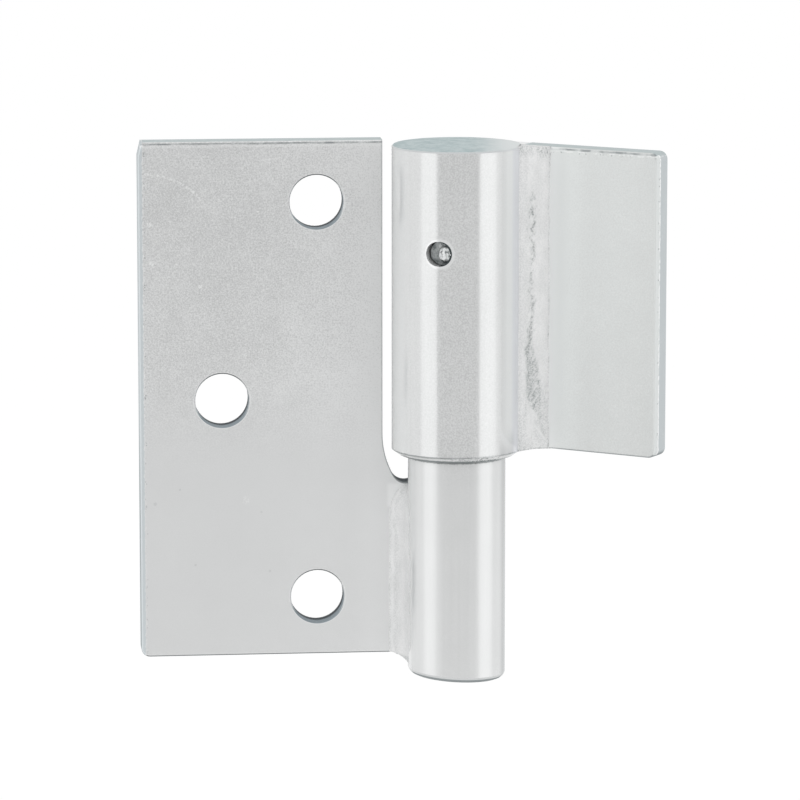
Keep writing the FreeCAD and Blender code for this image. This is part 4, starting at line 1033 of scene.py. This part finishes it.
def makeStub():
    inner = min((point - crossPoint).dot(crossOut) for point in retainPoints)
    outer = sleeveRadius - stub["depth"] * mm
    length = outer - inner
    bm = bmesh.new()
    bmesh.ops.create_cone(bm, cap_ends=True, segments=stub["segments"], radius1=crossRadius,
                          radius2=crossRadius, depth=length)
    bm.faces.ensure_lookup_table()
    cap = max(bm.faces, key=lambda face: face.calc_center_median().z)
    step = crossRadius / (stub["rings"] + 1)
    for ring in range(stub["rings"]):
        bmesh.ops.inset_region(bm, faces=[cap], thickness=step, use_even_offset=True)
    scorch = bm.verts.layers.float.new("scorch")
    for vert in bm.verts:
        x, y = vert.co.x / mm, vert.co.y / mm
        dull = holeShade(x, y)
        if vert.co.z > length / 2 - 1e-6:
            rise, dull = stubAt(x, y)
            vert.co.z += rise * mm
        vert[scorch] = min(max(dull, 0.0), 1.0)

    # from upright at the origin to its place in the hole
    sideways = Vector((-crossOut.y, crossOut.x, 0))      # to the right, looking at the hole
    turn = Matrix((
        (sideways.x, 0, crossOut.x, 0),
        (sideways.y, 0, crossOut.y, 0),
        (0, 1, 0, 0),
        (0, 0, 0, 1),
    ))
    middle = crossPoint + crossOut * (inner + outer) / 2
    bmesh.ops.transform(bm, matrix=Matrix.Translation(middle) @ turn, verts=bm.verts)
    bmesh.ops.recalc_face_normals(bm, faces=bm.faces)
    piece = finishMesh("retaining_pin_snapped_end", bm, stubZinc)
    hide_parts("retaining_pin")
    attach(piece, "gate_leaf")


makeStub()
print("retaining pin made")

# Camera at the photograph's angle

view = {
    "place": Vector((-0.056852, -0.965014, 0.160804)),
    "forward": Vector((0.09371, 0.98186, -0.16486)),
    "lens": 225,
    "sensor": 36,
}
cameraData = bpy.data.cameras.new("camera")
cameraData.lens = view["lens"]
cameraData.sensor_width = view["sensor"]
cameraData.clip_end = 50
camera = bpy.data.objects.new("camera", cameraData)
bpy.context.scene.collection.objects.link(camera)
camera.location = view["place"]
camera.rotation_euler = view["forward"].to_track_quat("-Z", "Y").to_euler()
bpy.context.scene.camera = camera

# Studio: white world, pale floor well below the hinge, strip lights round it, a grey card in front

studio = {
    "floorDrop": 0.30,
    "floorSize": 16.0,
    "floorTone": 0.8,
    "cardTone": 0.54,
    "cardSize": (1.73, 1.8),
    "cardPlace": (-0.065, -1.15, 0.35),
    "stripAway": 0.9,
    "stripTall": 1.5,
    "stripMiddle": 0.25,
    "strips": {                    # degrees from straight in front, to the right, then width and glow
        "left_strip": (-56.5, 0.465, 0.42),
        "right_strip": (51, 0.525, 0.46),
        "back_left_strip": (-140, 0.3, 0.25),
        "back_right_strip": (140, 0.3, 0.15),
    },
}


def makeWorld():
    world = bpy.data.worlds.new("studio_white")
    bpy.context.scene.world = world
    world.use_nodes = True
    tree = world.node_tree
    tree.nodes.clear()
    output = tree.nodes.new("ShaderNodeOutputWorld")
    background = tree.nodes.new("ShaderNodeBackground")
    background.inputs["Color"].default_value = (1, 1, 1, 1)
    background.inputs["Strength"].default_value = 1.0
    tree.links.new(background.outputs[0], output.inputs["Surface"])


def makeFloor():
    # white to the camera and in reflections, so that it gives a white background
    g = Graph("pale_floor")
    path = g.add("LightPath").outputs
    seen = g.math("MAXIMUM", path["Is Camera Ray"], path["Is Glossy Ray"])
    seen = g.math("MAXIMUM", seen, path["Is Transmission Ray"])
    tone = g.blend(seen, (studio["floorTone"],) * 3 + (1,), (1, 1, 1, 1))
    bm = bmesh.new()
    bmesh.ops.create_grid(bm, x_segments=1, y_segments=1, size=studio["floorSize"] / 2)
    bmesh.ops.translate(bm, verts=bm.verts, vec=(0, 0, pinLow.z - studio["floorDrop"]))
    floor = finishMesh("floor", bm, g.surface(g.add("BsdfDiffuse", Color=tone)), rounded=False)


def makeCard():
    # seen only in reflections, so other views don't show it
    g = Graph("grey_card")
    bm = bmesh.new()
    bmesh.ops.create_grid(bm, x_segments=1, y_segments=1, size=0.5)
    bmesh.ops.scale(bm, verts=bm.verts, vec=studio["cardSize"] + (1,))
    bmesh.ops.rotate(bm, verts=bm.verts, cent=(0, 0, 0), matrix=Matrix.Rotation(math.radians(90), 3, "X"))
    bmesh.ops.translate(bm, verts=bm.verts, vec=studio["cardPlace"])
    shader = g.add("BsdfDiffuse", Color=(studio["cardTone"],) * 3 + (1,))
    card = finishMesh("grey_card", bm, g.surface(shader), rounded=False)
    card.visible_camera = False
    card.visible_shadow = False
    card.visible_diffuse = False


def stripLight(name, azimuth, width, glow):
    # glow is how much brighter it is than the white around it
    height, distance, middle = studio["stripTall"], studio["stripAway"], studio["stripMiddle"]
    data = bpy.data.lights.new(name, "AREA")
    data.shape = "RECTANGLE"
    data.size = width
    data.size_y = height
    data.energy = glow * math.pi * width * height
    light = bpy.data.objects.new(name, data)
    bpy.context.scene.collection.objects.link(light)
    turn = math.radians(azimuth)
    light.location = (axisX + distance * math.sin(turn), axisY - distance * math.cos(turn), middle)
    aim = Vector((axisX, axisY, middle)) - light.location
    light.rotation_euler = aim.to_track_quat("-Z", "Y").to_euler()


makeWorld()
makeFloor()
makeCard()
for name, (azimuth, width, glow) in studio["strips"].items():
    stripLight(name, azimuth, width, glow)
print("studio set")

bpy.context.scene.view_settings.view_transform = "Standard"
